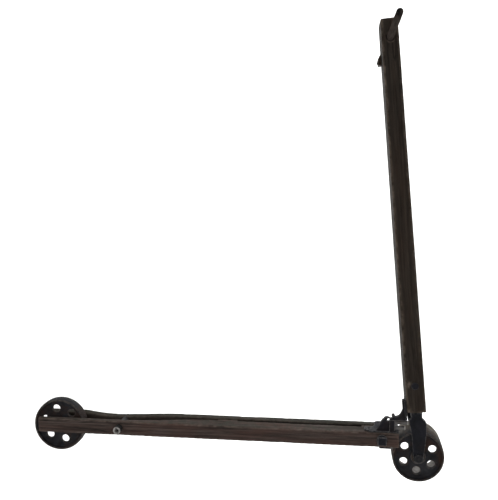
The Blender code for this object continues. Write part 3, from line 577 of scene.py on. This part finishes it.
def bevelled(piece, width, segments=2):
    edges = piece.modifiers.new("eased edges", "BEVEL")
    edges.width = width
    edges.segments = segments
    edges.limit_method = "ANGLE"
    edges.angle_limit = math.radians(35)
    baked(piece)
    piece.data.shade_smooth()
    piece.data.set_sharp_from_angle(angle=math.radians(40))
    return piece


def carved(piece, tool, operation="DIFFERENCE"):
    modifier = piece.modifiers.new("carve", "BOOLEAN")
    modifier.operation = operation
    modifier.solver = "EXACT"
    modifier.object = tool
    baked(piece)
    bpy.data.objects.remove(tool)
    return piece


def kept_inside(mesh):
    """Holds every point inside the CAD model's box, so that wear never makes the rack bigger."""
    places = as_array(mesh.vertices, "co")
    places = places.clip(np.array(cad_box[0]), np.array(cad_box[1])).astype(np.float32)
    mesh.vertices.foreach_set("co", places.ravel())
    mesh.update()


def dressed(piece, body, slot_name, *stands_for, finish=None):
    """Gives a finished mesh its material and its body, and hides the CAD nodes that it stands for."""
    kept_inside(piece.data)
    piece.data.materials.clear()
    piece.data.materials.append(finish or finishes[slot_name])
    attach(piece, body)
    if stands_for:
        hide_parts(*stands_for)
    return piece


# %% [markdown]
# The weathering steps work on arrays, because a timber has tens of thousands of points. The wear
# value compares each point with the middle of its neighbours: on a corner it stands proud of them.

# %% Weathering
def as_array(items, label, width=3):
    flat = np.empty(len(items) * width, np.float32)
    items.foreach_get(label, flat)
    return flat.reshape(-1, width)


def remeshed(piece, voxel, rounds):
    voxels = piece.modifiers.new("even faces", "REMESH")
    voxels.mode = "VOXEL"
    voxels.voxel_size = voxel
    voxels.use_smooth_shade = True
    soften = piece.modifiers.new("soften", "SMOOTH")
    soften.factor = 0.5
    soften.iterations = rounds
    return baked(piece)


def neighbour_mean(values, ends, count):
    """For each point, the mean of a value over the points that it shares an edge with."""
    wide = values.reshape(count, -1)
    total = np.zeros_like(wide, dtype=np.float64)
    for column in range(wide.shape[1]):
        total[:, column] = np.bincount(ends[:, 0], wide[ends[:, 1], column], count)
        total[:, column] += np.bincount(ends[:, 1], wide[ends[:, 0], column], count)
    shared = np.bincount(ends.ravel(), minlength=count).clip(1)
    return (total / shared[:, None]).reshape(values.shape)


def corner_wear(mesh, passes=2, corner_share=0.04):
    """Stores how proud each point stands of its neighbours, 0 on a flat and 1 on a corner.

    The corner_share of the points that stand proudest count as fully worn.
    """
    count = len(mesh.vertices)
    places = as_array(mesh.vertices, "co").astype(np.float64)
    normals = as_array(mesh.vertex_normals, "vector").astype(np.float64)
    ends = np.empty(len(mesh.edges) * 2, np.int32)
    mesh.edges.foreach_get("vertices", ends)
    ends = ends.reshape(-1, 2)
    proud = ((places - neighbour_mean(places, ends, count)) * normals).sum(1)
    for _ in range(passes):
        proud = neighbour_mean(proud, ends, count)
    full = max(float(np.quantile(proud, 1 - corner_share)), 1e-6)
    wear = (proud / full * 1.15 - 0.15).clip(0, 1)
    layer = mesh.attributes.get("wear") or mesh.attributes.new("wear", "FLOAT", "POINT")
    layer.data.foreach_set("value", wear.astype(np.float32))
    return wear


def pushed(mesh, rule):
    """Moves every point along its normal by what rule(place, normal) says."""
    normals = [normal.vector.copy() for normal in mesh.vertex_normals]
    for vertex, normal in zip(mesh.vertices, normals):
        vertex.co += normal * rule(vertex.co, normal)
    mesh.update()


# %% [markdown]
# ## The hanger
# On the real rack this is a sawn timber, slightly tapered, with corners rounded by decades of
# handling. It could be a bevelled box, but its outline would be too straight. So the CAD shape is
# remeshed, its corners are rubbed down unevenly, and long low waves follow the grain.

# %% Hanger timber
TIMBER_VOXEL = 0.0026


def corner_loss(place, wear_here, depth, scale):
    """How far a corner is rubbed back here."""
    return -depth * wear_here * (0.35 + max(0.0, noise.noise(place * scale)) * 1.6)


def weathered_timber(node, name, to_grain, voxel, loss, wave, seed):
    """A timber from its CAD node: rubbed corners, grain ridges and long low waves.

    Wear only takes wood away, so no face stands proud of the CAD node's own face.
    """
    piece = remeshed(merged_copy(node, name), voxel, 3)
    mesh = piece.data
    wear = corner_wear(mesh, 3)
    offset = Vector((seed * 7.3, seed * 3.1, seed * 5.7))
    normals = [normal.vector.copy() for normal in mesh.vertex_normals]
    for index, vertex in enumerate(mesh.vertices):
        grain = to_grain @ vertex.co + offset
        low = Vector((grain.x * 9, grain.y * 9, grain.z * 2.2))
        fine = Vector((grain.x * 190, grain.y * 190, grain.z * 7))
        move = wave * noise.noise(low) + 0.00022 * noise.noise(fine)
        move += corner_loss(vertex.co + offset, wear[index], loss, 24)
        vertex.co += normals[index] * min(0.0, move)
    mesh.update()
    corner_wear(mesh, 2, 0.05)
    return piece


ALONG_HANGER = Matrix.Identity(3)
hanger = weathered_timber("hanger_beam", "hanger_timber", ALONG_HANGER, voxel=TIMBER_VOXEL,
                          loss=0.0012, wave=0.0006, seed=1)


def rubbed_spot(mesh, centre, radius, amount):
    """Adds a soft round patch of wear, where a spanner or a passing belt has scraped."""
    places = as_array(mesh.vertices, "co").astype(np.float64)
    away = np.linalg.norm((places - np.array(centre)) * np.array((1.0, 1.0, 0.55)), axis=1)
    layer = mesh.attributes["wear"]
    wear = as_array(layer.data, "value", 1)[:, 0]
    wear = np.maximum(wear, amount * np.exp(-(away / radius) ** 2)).astype(np.float32)
    layer.data.foreach_set("value", wear)


bolt_low, bolt_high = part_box("yoke_bolt")
bolt_centre = (bolt_low + bolt_high) / 2
rubbed_spot(hanger.data, (bolt_centre.x - 0.021, FRONT, bolt_centre.z + 0.004), 0.008, 1.6)
rubbed_spot(hanger.data, (bolt_centre.x - 0.028, FRONT, bolt_low.z - 0.075), 0.009, 1.2)
dressed(hanger, body_of["hanger_beam"], "hanger_wood", "hanger_beam")
print("hanger:", len(hanger.data.vertices), "points")

# %% [markdown]
# ## The rails
# Both rails are the same old stock as the hanger but redder, oiled by passing belts. Their grain
# runs along the boom, so the rule that moves the surface is turned to the boom's frame first.

# %% Rails and cleat
along_boom = (Matrix.Rotation(math.pi / 2, 3, "Y") @ Matrix.Rotation(-BOOM_RISE, 3, "Y"))
front_rail = weathered_timber("front_rail", "front_rail_timber", along_boom, voxel=0.0025,
                              loss=0.0010, wave=0.0005, seed=2)
rear_rail = weathered_timber("rear_rail", "rear_rail_timber", along_boom, voxel=0.0025,
                             loss=0.0014, wave=0.0006, seed=3)
cleat = weathered_timber("side_cleat", "cleat_wedge", ALONG_HANGER, voxel=0.0012,
                         loss=0.0016, wave=0.0006, seed=4)
dressed(front_rail, body_of["front_rail"], "rail_wood", "front_rail")
dressed(rear_rail, body_of["rear_rail"], "rail_wood", "rear_rail",
        finish=rear_rail_timber)
dressed(cleat, body_of["side_cleat"], "hanger_wood", "side_cleat")
print("rails:", len(front_rail.data.vertices), "and", len(rear_rail.data.vertices), "points")


# %% [markdown]
# ## Lathe work
# Bolts, axles, washers and the peg are round. A lathe spins a half-outline about an axis, which
# gives true round edges that the faceted CAD can't have. The outline is (radius, height) pairs.

# %% A lathe
OUTLINE_STEP = 0.0022


def divided(outline):
    """The same outline with extra points, so that wear can stay close to the corners."""
    line = [outline[0]]
    for (r0, h0), (r1, h1) in zip(outline, outline[1:]):
        parts = max(1, math.ceil(math.hypot(r1 - r0, h1 - h0) / OUTLINE_STEP))
        line += [(r0 + (r1 - r0) * part / parts, h0 + (h1 - h0) * part / parts)
                 for part in range(1, parts + 1)]
    return line


def lathe(name, outline, start, direction, steps=56, bored=False):
    """Spins an outline about an axis that starts at a point and runs in a direction."""
    shape = bmesh.new()
    points = [shape.verts.new((radius, 0, height)) for radius, height in divided(outline)]
    pairs = list(zip(points, points[1:]))
    if bored:
        pairs.append((points[-1], points[0]))
    edges = [shape.edges.new(pair) for pair in pairs]
    bmesh.ops.spin(shape, geom=points + edges, axis=(0, 0, 1), cent=(0, 0, 0),
                   angle=math.tau, steps=steps, use_merge=True)
    bmesh.ops.remove_doubles(shape, verts=shape.verts, dist=0.00001)
    bmesh.ops.recalc_face_normals(shape, faces=shape.faces)
    turn = Vector(direction).normalized().to_track_quat("Z", "Y").to_matrix().to_4x4()
    bmesh.ops.transform(shape, matrix=Matrix.Translation(start) @ turn, verts=shape.verts)
    mesh = bpy.data.meshes.new(name)
    shape.to_mesh(mesh)
    shape.free()
    mesh.shade_smooth()
    mesh.set_sharp_from_angle(angle=math.radians(38))
    corner_wear(mesh, 1, 0.05)
    return linked(name, mesh)


def rounded_ring(inner, outer, height, ease):
    """The half-outline of a washer or tube with eased edges."""
    return [(inner, ease), (inner + ease, 0), (outer - ease, 0), (outer, ease),
            (outer, height - ease), (outer - ease, height), (inner + ease, height),
            (inner, height - ease)]


BACKWARD = Vector((0, 1, 0))
FORWARD = Vector((0, -1, 0))
BOOM_UP = boom_turn.to_3x3() @ Vector((0, 0, 1))
BOOM_IN = boom_turn.to_3x3() @ Vector((1, 0, 0))


def middle_of(node):
    low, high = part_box(node)
    return (low + high) / 2


# %% [markdown]
# ## The peg
# A turned stick pushed through the hanger. Its tip is worn dark and slightly dished by whatever
# hung from it, and its back end is split for a wedge. It is spun, slit, then weathered like timber.

# %% Peg
PEG_TIP_RADIUS = 0.0107
PEG_RADIUS = 0.0135
PEG_TURN = math.radians(-0.2)

peg_low, peg_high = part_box("peg")
peg_centre_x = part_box("peg_wedge")[0].x / 2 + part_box("peg_wedge")[1].x / 2
peg_z = (peg_low.z + peg_high.z) / 2
peg_aim = Matrix.Rotation(PEG_TURN, 3, "Z") @ FORWARD
peg_length = (peg_high.y - peg_low.y)
peg_outline = [(0.0, 0.0), (PEG_RADIUS - 0.0008, 0.0), (PEG_RADIUS, 0.0008)]
for step in range(1, 24):
    share = step / 24
    swelling = 0.00015 * math.sin(share * 17.0)
    peg_outline.append((PEG_RADIUS + (PEG_TIP_RADIUS - PEG_RADIUS) * share + swelling,
                        0.0008 + (peg_length - 0.010) * share))
peg_outline += [(PEG_TIP_RADIUS, peg_length - 0.007), (PEG_TIP_RADIUS - 0.0006, peg_length - 0.003),
                (PEG_TIP_RADIUS - 0.0022, peg_length - 0.0008), (0.006, peg_length - 0.0002),
                (0.0, peg_length - 0.0006)]
peg_start = Vector((peg_centre_x, peg_high.y, peg_z))
peg = lathe("peg_stick", peg_outline, peg_start, peg_aim, 40)
slit_mesh = bpy.data.meshes.new("slit")
slit_shape = bmesh.new()
bmesh.ops.create_cube(slit_shape, size=1.0)
bmesh.ops.scale(slit_shape, vec=(0.0036, 0.052, 0.04), verts=slit_shape.verts)
bmesh.ops.translate(slit_shape, vec=peg_start, verts=slit_shape.verts)
slit_shape.to_mesh(slit_mesh)
slit_shape.free()
peg = carved(peg, linked("slit", slit_mesh))
peg = remeshed(peg, 0.0014, 2)
# The dark value runs from the tip back: that end has been handled and oiled the most.
DARK_TIP, TIP_FADE = 0.006, 0.026
peg_places = as_array(peg.data.vertices, "co")
from_tip = peg_places[:, 1] - peg_places[:, 1].min()
tip_dark = (1 - (from_tip - DARK_TIP) / TIP_FADE).clip(0, 1).astype(np.float32)
peg.data.attributes.new("wear", "FLOAT", "POINT").data.foreach_set("value", tip_dark * 1.5)
pushed(peg.data, lambda place, normal: 0.00035 * noise.noise(Vector((place.x * 160, place.y * 14,
                                                                     place.z * 160))))
dressed(peg, body_of["peg"], "peg_wood", "peg")
print("peg:", round(peg_length, 3), "m long")

# %% [markdown]
# ## Yoke and knee
# Both are blacksmith's work: flat bar, welded and filed, with soft edges. The same remesh that wore
# the timber now rounds every iron edge and leaves faint hammer marks, with far less loss.

# %% Forged pieces
def forged(node, name, voxel, rounds, hammer):
    piece = remeshed(merged_copy(node, name), voxel, rounds)
    pushed(piece.data, lambda place, normal: hammer * noise.noise(place * 70)
           + 0.35 * hammer * noise.noise(place * 210))
    corner_wear(piece.data)
    return dressed(piece, body_of[node], slot_of[node], node)


yoke = forged("yoke", "forged_yoke", 0.0013, 3, 0.00028)
knee = forged("knee_bracket", "forged_knee", 0.0010, 3, 0.00022)
clamp = forged("clamp_plate", "forged_clamp_plate", 0.0009, 2, 0.00018)
print("yoke and knee:", len(yoke.data.vertices), "and", len(knee.data.vertices), "points")

# %% [markdown]
# ## A ring of holes with Geometry Nodes
# Each pulley's web has six round holes, evenly spaced. That is a rule, so a small node tree makes
# the drill: a mesh circle gives six points, a cylinder stands on each, and the instances are made
# real. The sizes are named inputs, set before the tree is first evaluated.

# %% Drill tree
def tree_with(name, inputs):
    """A Geometry Nodes tree with named float or int inputs and a material input."""
    tree = bpy.data.node_groups.new(name, "GeometryNodeTree")
    tree.interface.new_socket("Geometry", in_out="OUTPUT", socket_type="NodeSocketGeometry")
    for label, kind, default in inputs:
        socket = tree.interface.new_socket(label, in_out="INPUT", socket_type="NodeSocket" + kind)
        if default is not None:
            socket.default_value = default
    return tree, tree.nodes.new("NodeGroupInput"), tree.nodes.new("NodeGroupOutput")


def finish_tree(tree, given, made, geometry):
    real = put(tree, "GeometryNodeRealizeInstances", Geometry=geometry)
    coloured = put(tree, "GeometryNodeSetMaterial", Geometry=real.outputs[0],
                   Material=given.outputs["Material"])
    tree.links.new(coloured.outputs[0], made.inputs[0])


def grown(name, tree, values):
    """Runs a tree on an empty mesh and returns its result as a plain mesh object."""
    piece = linked(name, bpy.data.meshes.new(name))
    modifier = piece.modifiers.new(name, "NODES")
    modifier.node_group = tree
    for item in tree.interface.items_tree:
        if item.in_out == "INPUT" and item.name in values:
            modifier[item.identifier] = values[item.name]
    return baked(piece)


drill_tree, given, made = tree_with("ring of drills", [
    ("Holes", "Int", 6), ("Circle Radius", "Float", 0.06), ("Hole Radius", "Float", 0.015),
    ("Depth", "Float", 0.03), ("Material", "Material", None)])
ring = put(drill_tree, "GeometryNodeMeshCircle", Vertices=given.outputs["Holes"],
           Radius=given.outputs["Circle Radius"])
bit = put(drill_tree, "GeometryNodeMeshCylinder", Vertices=40, Radius=given.outputs["Hole Radius"],
          Depth=given.outputs["Depth"])
drills = put(drill_tree, "GeometryNodeInstanceOnPoints", Points=ring.outputs[0],
             Instance=bit.outputs["Mesh"])
finish_tree(drill_tree, given, made, drills.outputs[0])


# %% [markdown]
# ## The pulleys
# A cast pulley is one turned outline: a crowned rim, a thin web set towards the front, and a long
# hub. It is spun with 144 steps, drilled by the tree above, and remeshed so that the holes get the
# soft lips of a casting. Then its mesh is told where the belt runs and what counts as inside.

# %% Pulley casting
RIM_WALL = 0.008
CROWN_RISE = 0.0012
CROWN_STEPS = 12
RIM_EASE, HUB_EASE, FILLET = 0.0012, 0.001, 0.006
HOLE_RADIUS = 0.015


def pulley_outline(radius, rim, web, hub, hub_radius, bore):
    """Half-outline of a pulley, heights measured behind the hanger's front face."""
    (near, far), (web_near, web_far), (hub_near, hub_far) = rim, web, hub
    inner = radius - RIM_WALL
    edge = radius - CROWN_RISE - RIM_EASE
    line = []
    for step in range(CROWN_STEPS + 1):
        share = step / CROWN_STEPS
        line.append((radius - CROWN_RISE * (2 * share - 1) ** 2,
                     near + RIM_EASE + (far - near - 2 * RIM_EASE) * share))
    line += [(edge, far), (inner + RIM_EASE, far), (inner, far - RIM_EASE)]
    line += [(inner - 0.0006, web_far + FILLET), (inner - 0.002, web_far + 0.002),
             (inner - FILLET, web_far)]
    line += [(hub_radius + FILLET, web_far), (hub_radius + 0.0015, web_far + 0.0015),
             (hub_radius, web_far + FILLET), (hub_radius, hub_far - HUB_EASE),
             (hub_radius - HUB_EASE, hub_far), (bore, hub_far), (bore, hub_near),
             (hub_radius - HUB_EASE, hub_near), (hub_radius, hub_near + HUB_EASE),
             (hub_radius, web_near - FILLET), (hub_radius + 0.0015, web_near - 0.0015),
             (hub_radius + FILLET, web_near)]
    line += [(inner - FILLET, web_near), (inner - 0.002, web_near - 0.002),
             (inner - 0.0006, web_near - FILLET), (inner, near + RIM_EASE),
             (inner + RIM_EASE, near), (edge, near)]
    return line


def cast_pulley(node, name, hinge, outline, drill, first_hole, web, voxel, polish):
    hub_line = Vector((hinge.x, FRONT, hinge.z))
    piece = lathe(name, outline, hub_line, BACKWARD, 144, bored=True)
    bits = grown("drills", drill_tree, dict(drill, Depth=0.05))
    web_middle = sum(web) / 2
    stand = (Matrix.Translation(hub_line + BACKWARD * web_middle)
             @ Matrix.Rotation(-math.radians(first_hole), 4, "Y")
             @ Matrix.Rotation(math.radians(90), 4, "X"))
    bits.data.transform(stand)
    carved(piece, bits)
    remeshed(piece, voxel, 2)
    pushed(piece.data, lambda place, normal: 0.00012 * noise.noise(place * 60))
    corner_wear(piece.data)
    mark_pulley(piece.data, hinge, max(r for r, _ in outline), web[1], polish)
    return dressed(piece, body_of[node], "pulley_iron", node)


def mark_pulley(mesh, hinge, radius, web_far, polish):
    """Stores where the belt runs, and which faces are the inside behind the web that gets painted light."""
    places = as_array(mesh.vertices, "co").astype(np.float64)
    normals = as_array(mesh.vertex_normals, "vector").astype(np.float64)
    out = places - np.array(hinge)
    out[:, 1] = 0
    distance = np.linalg.norm(out, axis=1)
    facing = (normals * out).sum(1) / distance.clip(1e-6)
    depth = places[:, 1] - FRONT
    middling = ((depth - depth.min() - 0.012) / 0.050).clip(0, 1)
    track = ((distance > radius - 0.0028) & (facing > 0.55)) * polish * middling
    # The inside mask carries the painted light: faces behind the web that look in towards the hub
    inside = (depth > web_far + 0.001) & (facing < -0.5) & (distance > radius * 0.6)
    for label, values in (("belt_track", track), ("inside", inside)):
        mesh.attributes.new(label, "FLOAT", "POINT").data.foreach_set(
            "value", values.astype(np.float32))


def depths(node):
    """How far a node's near and far ends lie behind the hanger's front face."""
    low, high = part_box(node)
    return low.y - FRONT, high.y - FRONT


ELBOW_WEB = (0.024, 0.033)
END_WEB = (0.0365, 0.0435)
ELBOW_RIM = (0.011, 0.105)
END_RIM = (0.024, 0.056)
ELBOW_RADIUS, ELBOW_BORE = 0.0985, 0.0150
END_RADIUS, END_BORE = 0.1040, 0.0110

elbow_pulley = cast_pulley(
    "elbow_pulley", "elbow_pulley_casting", hinges["elbow_pulley_spin"],
    pulley_outline(ELBOW_RADIUS, ELBOW_RIM, ELBOW_WEB, depths("elbow_pulley"), 0.028, ELBOW_BORE),
    {"Circle Radius": 0.0600, "Hole Radius": HOLE_RADIUS}, 21, ELBOW_WEB, 0.0016, 1.0)
end_pulley = cast_pulley(
    "end_pulley", "end_pulley_casting", hinges["end_pulley_spin"],
    pulley_outline(END_RADIUS, END_RIM, END_WEB, depths("end_pulley"), 0.024, END_BORE),
    {"Circle Radius": 0.0640, "Hole Radius": HOLE_RADIUS}, 100, END_WEB, 0.0015, 0.25)
print("pulleys:", len(elbow_pulley.data.vertices), "and", len(end_pulley.data.vertices), "points")

# %% [markdown]
# ## Round fittings
# Bolts, axles and washers come off the lathe next. A solid one's outline runs from axis to
# axis, and
# sizes come from the boxes of the CAD nodes that the pieces replace.

# %% Bolts, axles, pipe and washers
def dome(radius, height, steps=7):
    """Outline of a low round head, from its crown to its rim."""
    points = []
    for step in range(steps + 1):
        angle = math.radians(90 * step / steps)
        points.append((radius * math.sin(angle), height * math.cos(angle)))
    return points


def turned_fitting(node, name, outline, start, aim, steps=56, bored=False, finish=None, rub=1.0):
    """A turned piece in place of a CAD node; rub scales how much its corners have been worn."""
    piece = lathe(name, outline, start, aim, steps, bored)
    layer = piece.data.attributes["wear"]
    layer.data.foreach_set("value", as_array(layer.data, "value", 1)[:, 0] * rub)
    return dressed(piece, body_of[node], slot_of[node], node, finish=finish)


def washer(node, inner):
    low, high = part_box(node)
    outer = (high.x - low.x) / 2
    centre = (low + high) / 2
    start = Vector((centre.x, low.y, centre.z))
    ring = rounded_ring(inner, outer, high.y - low.y, ease=0.0004)
    return turned_fitting(node, node + "_turned", ring, start, BACKWARD, bored=True)


coach_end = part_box("yoke_bolt")[1].y
COACH_HEAD, COACH_SHANK = 0.014, 0.006
coach_seat = Vector((middle_of("yoke_bolt").x, FRONT - 0.0003, middle_of("yoke_bolt").z))
coach_outline = dome(COACH_HEAD, 0.007)
shank_end = coach_seat.y - coach_end
coach_outline += [(COACH_HEAD, 0.0), (COACH_SHANK, 0.0), (COACH_SHANK, shank_end + 0.001),
                  (COACH_SHANK - 0.001, shank_end), (0, shank_end)]
turned_fitting("yoke_bolt", "coach_bolt", coach_outline, coach_seat, FORWARD, rub=0.2)

axle_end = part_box("elbow_axle")[1].y
AXLE_HEAD, AXLE_SHANK = 0.016, 0.011
axle_middle = hinges["elbow_pulley_spin"]
axle_start = Vector((axle_middle.x, axle_end, axle_middle.z))
head_at = axle_end - FRONT - 0.0005
axle_outline = [(0, 0), (0.0095, 0), (AXLE_SHANK, 0.0015), (AXLE_SHANK, head_at),
                (AXLE_HEAD, head_at), (AXLE_HEAD, head_at + 0.0026),
                (AXLE_HEAD - 0.0006, head_at + 0.0036),
                (AXLE_HEAD - 0.0020, head_at + 0.0044), (0.006, head_at + 0.0049),
                (0.0028, head_at + 0.0049), (0.0, head_at + 0.0026)]
turned_fitting("elbow_axle", "elbow_axle_turned", axle_outline, axle_start, FORWARD,
               finish=dark_steel, rub=0.4)

pin_low, pin_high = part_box("end_axle")
pin_middle = hinges["end_pulley_spin"]
pin_length = pin_high.y - pin_low.y
pin_outline = [(0, 0), (0.007, 0), (0.008, 0.001), (0.008, pin_length - 0.001),
               (0.007, pin_length), (0, pin_length)]
turned_fitting("end_axle", "end_axle_turned", pin_outline,
               Vector((pin_middle.x, pin_low.y, pin_middle.z)), BACKWARD)

pipe_low, pipe_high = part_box("cross_pipe")
PIPE_OUTER, PIPE_INNER = 0.0145, 0.0078
pipe_middle = middle_of("cross_pipe")
pipe_ring = rounded_ring(PIPE_INNER, PIPE_OUTER, pipe_high.y - pipe_low.y, ease=0.0016)
pipe = lathe("cross_pipe_tube", pipe_ring,
             Vector((pipe_middle.x, pipe_low.y, pipe_middle.z)), BACKWARD, 64, bored=True)
BRIGHT_END = 0.0035
pipe_places = as_array(pipe.data.vertices, "co")
pipe_wear = pipe.data.attributes["wear"]
near_end = (pipe_places[:, 1] < pipe_low.y + BRIGHT_END).astype(np.float32)
pipe_wear.data.foreach_set("value", near_end * 1.3)      # rubbed bright where it was last cut
dressed(pipe, body_of["cross_pipe"], "worn_steel", "cross_pipe", finish=pipe_steel)

COACH_BORE, RAIL_BOLT_BORE, AXLE_BORE, PIN_BORE = 0.0063, 0.0068, 0.0113, 0.0083
bores = {"yoke_bolt_washer": COACH_BORE, "rail_bolt_front_washer": RAIL_BOLT_BORE,
         "rail_bolt_rear_washer": RAIL_BOLT_BORE, "elbow_axle_washer": AXLE_BORE,
         "end_axle_washer": PIN_BORE, "elbow_thrust_washer_front": AXLE_BORE,
         "elbow_thrust_washer_rear": AXLE_BORE, "end_thrust_washer_front": PIN_BORE,
         "end_thrust_washer_rear": PIN_BORE, "elbow_bush": AXLE_BORE, "end_bush": PIN_BORE}
for node, inner in bores.items():
    washer(node, inner)

STAY_RADIUS, STAY_LENGTHS = 0.0075, {"stay_bolt_upper": 0.062, "stay_bolt_lower": 0.051}
for node, height in (("stay_bolt_upper", 0.1285), ("stay_bolt_lower", 0.1075)):
    length = STAY_LENGTHS[node]
    stay_outline = [(0, 0), (STAY_RADIUS, 0), (STAY_RADIUS, length - 0.0016),
                    (STAY_RADIUS - 0.0008, length - 0.0004), (STAY_RADIUS - 0.0018, length),
                    (0, length)]
    turned_fitting(node, node + "_turned", stay_outline, on_boom(-0.104, 0.014, height), BOOM_IN)
print("round fittings done")

# %% [markdown]
# ## Square nuts, heads and screws
# Blacksmith's nuts and bolt heads are square with eased corners. Each CAD node is copied, merged
# and bevelled, then lightly remeshed so that its corners can carry wear. Screws get the slot that
# a driver needs, sawn across the end of the head.

# %% Crisp pieces and screw slots
def slot_saw(centre, aim, width, length):
    """A thin block across a screw's head, as a cutter."""
    shape = bmesh.new()
    bmesh.ops.create_cube(shape, size=1.0)
    bmesh.ops.scale(shape, vec=(width, length, 0.0026), verts=shape.verts)
    turn = aim.to_track_quat("Z", "Y").to_matrix().to_4x4()
    twist = Matrix.Rotation(math.radians(37 + 180 * abs(noise.noise(centre * 90))), 4, "Z")
    bmesh.ops.transform(shape, matrix=Matrix.Translation(centre) @ turn @ twist, verts=shape.verts)
    mesh = bpy.data.meshes.new("saw")
    shape.to_mesh(mesh)
    shape.free()
    return linked("saw", mesh)


def head_of(node, aim):
    """The centre of the end of a node that lies furthest along a direction."""
    places = [v.co for v in nodes[node].data.vertices]
    furthest = max(place.dot(aim) for place in places)
    end = [place for place in places if place.dot(aim) > furthest - 0.0001]
    return sum(end, Vector()) / len(end)


screws = {"foot_screw_1": BOOM_UP, "foot_screw_2": BOOM_UP, "leg_screw_1": Vector((-1, 0, 0)),
          "leg_screw_2": Vector((-1, 0, 0)), "cleat_screw_1": Vector((-1, 0, 0)),
          "cleat_screw_2": Vector((-1, 0, 0)), "mid_filler_screw_1": BACKWARD,
          "mid_filler_screw_2": BACKWARD}
for node, aim in screws.items():
    screw = merged_copy(node, node + "_slotted")
    carved(screw, slot_saw(head_of(node, aim), aim, 0.0013, 0.02))
    screw.data.shade_smooth()
    screw.data.set_sharp_from_angle(angle=math.radians(30))
    dressed(screw, body_of[node], slot_of[node], node)

crisp = {"yoke_bolt_nut": 0.0009, "rail_bolt_nut": 0.0009, "elbow_axle_nut": 0.0012,
         "end_axle_nut": 0.0009, "clamp_nut": 0.0009, "clamp_bolt": 0.0008, "rail_bolt": 0.0016,
         "knee_set_screw": 0.0005, "peg_wedge": 0.0002}
for node, width in crisp.items():
    piece = bevelled(merged_copy(node, node + "_crisp"), width, 3)
    remeshed(piece, 0.0007, 1)
    pushed(piece.data, lambda place, normal: 0.00016 * noise.noise(place * 140))
    corner_wear(piece.data, 2, 0.08)
    dressed(piece, body_of[node], slot_of[node], node)
for node in ("end_filler", "mid_filler"):
    filler = weathered_timber(node, node + "_block", along_boom, voxel=0.0022,
                              loss=0.0008, wave=0.0002, seed=6)
    dressed(filler, body_of[node], slot_of[node], node)
print("screws:", len(screws), "crisp pieces:", len(crisp))

# %% [markdown]
# ## Threads with Geometry Nodes
# A thread follows a path: a helix. The tree sweeps a three-sided profile along a spiral, so its
# sizes can be named inputs: radius, turns, length and depth. Each stud gets one near its tip.

# %% Thread tree
thread_tree, given, made = tree_with("screw thread", [
    ("Radius", "Float", 0.006), ("Turns", "Float", 8.0), ("Length", "Float", 0.012),
    ("Depth", "Float", 0.0006), ("Material", "Material", None)])
helix = put(thread_tree, "GeometryNodeCurveSpiral", Resolution=28, Rotations=given.outputs["Turns"],
            Start_Radius=given.outputs["Radius"], End_Radius=given.outputs["Radius"],
            Height=given.outputs["Length"])
tooth = put(thread_tree, "GeometryNodeCurvePrimitiveCircle", Resolution=3,
            Radius=given.outputs["Depth"])
swept = put(thread_tree, "GeometryNodeCurveToMesh", Curve=helix.outputs[0],
            Profile_Curve=tooth.outputs[0], Fill_Caps=True)
finish_tree(thread_tree, given, made, swept.outputs[0])


def threaded_end(name, end, aim, radius, length, pitch, slot_name):
    """A thread on the last stretch of a stud, ending at its tip."""
    thread = grown(name, thread_tree, {"Radius": radius, "Turns": length / pitch, "Length": length,
                                       "Depth": pitch * 0.45, "Material": finishes[slot_name]})
    turn = aim.to_track_quat("Z", "Y").to_matrix().to_4x4()
    thread.data.transform(Matrix.Translation(end - aim * length) @ turn)
    thread.data.shade_smooth()
    return dressed(thread, "frame", slot_name)


threaded_end("coach_bolt_thread", Vector((coach_seat.x, coach_end - 0.001, coach_seat.z)),
             BACKWARD, 0.0059, 0.0060, 0.0013, "black_iron")
threaded_end("elbow_axle_thread", Vector((axle_middle.x, axle_end - 0.0015, axle_middle.z)),
             BACKWARD, 0.0109, 0.0045, 0.0015, "worn_steel")
threaded_end("end_axle_thread", Vector((pin_middle.x, pin_high.y - 0.001, pin_middle.z)), BACKWARD,
             0.0079, 0.0032, 0.0013, "worn_steel")
rail_bolt_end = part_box("rail_bolt")[1].y
threaded_end("rail_bolt_thread", Vector((middle_of("rail_bolt").x, rail_bolt_end - 0.0008,
                                         middle_of("rail_bolt").z)), BACKWARD,
             0.0064, 0.0045, 0.0013, "black_iron")
threaded_end("clamp_bolt_thread", head_of("clamp_bolt", -BOOM_UP) + BOOM_UP * 0.0006, -BOOM_UP,
             0.0059, 0.0025, 0.0012, "black_iron")
print("threads: 5")

# %% [markdown]
# ## Last checks
# Every CAD node should now have a finished piece standing for it; any still showing are listed.

# %% List the CAD nodes still showing
left_bare = sorted(name for name, node in nodes.items() if not node.hide_render)
print("CAD nodes still showing:", left_bare)
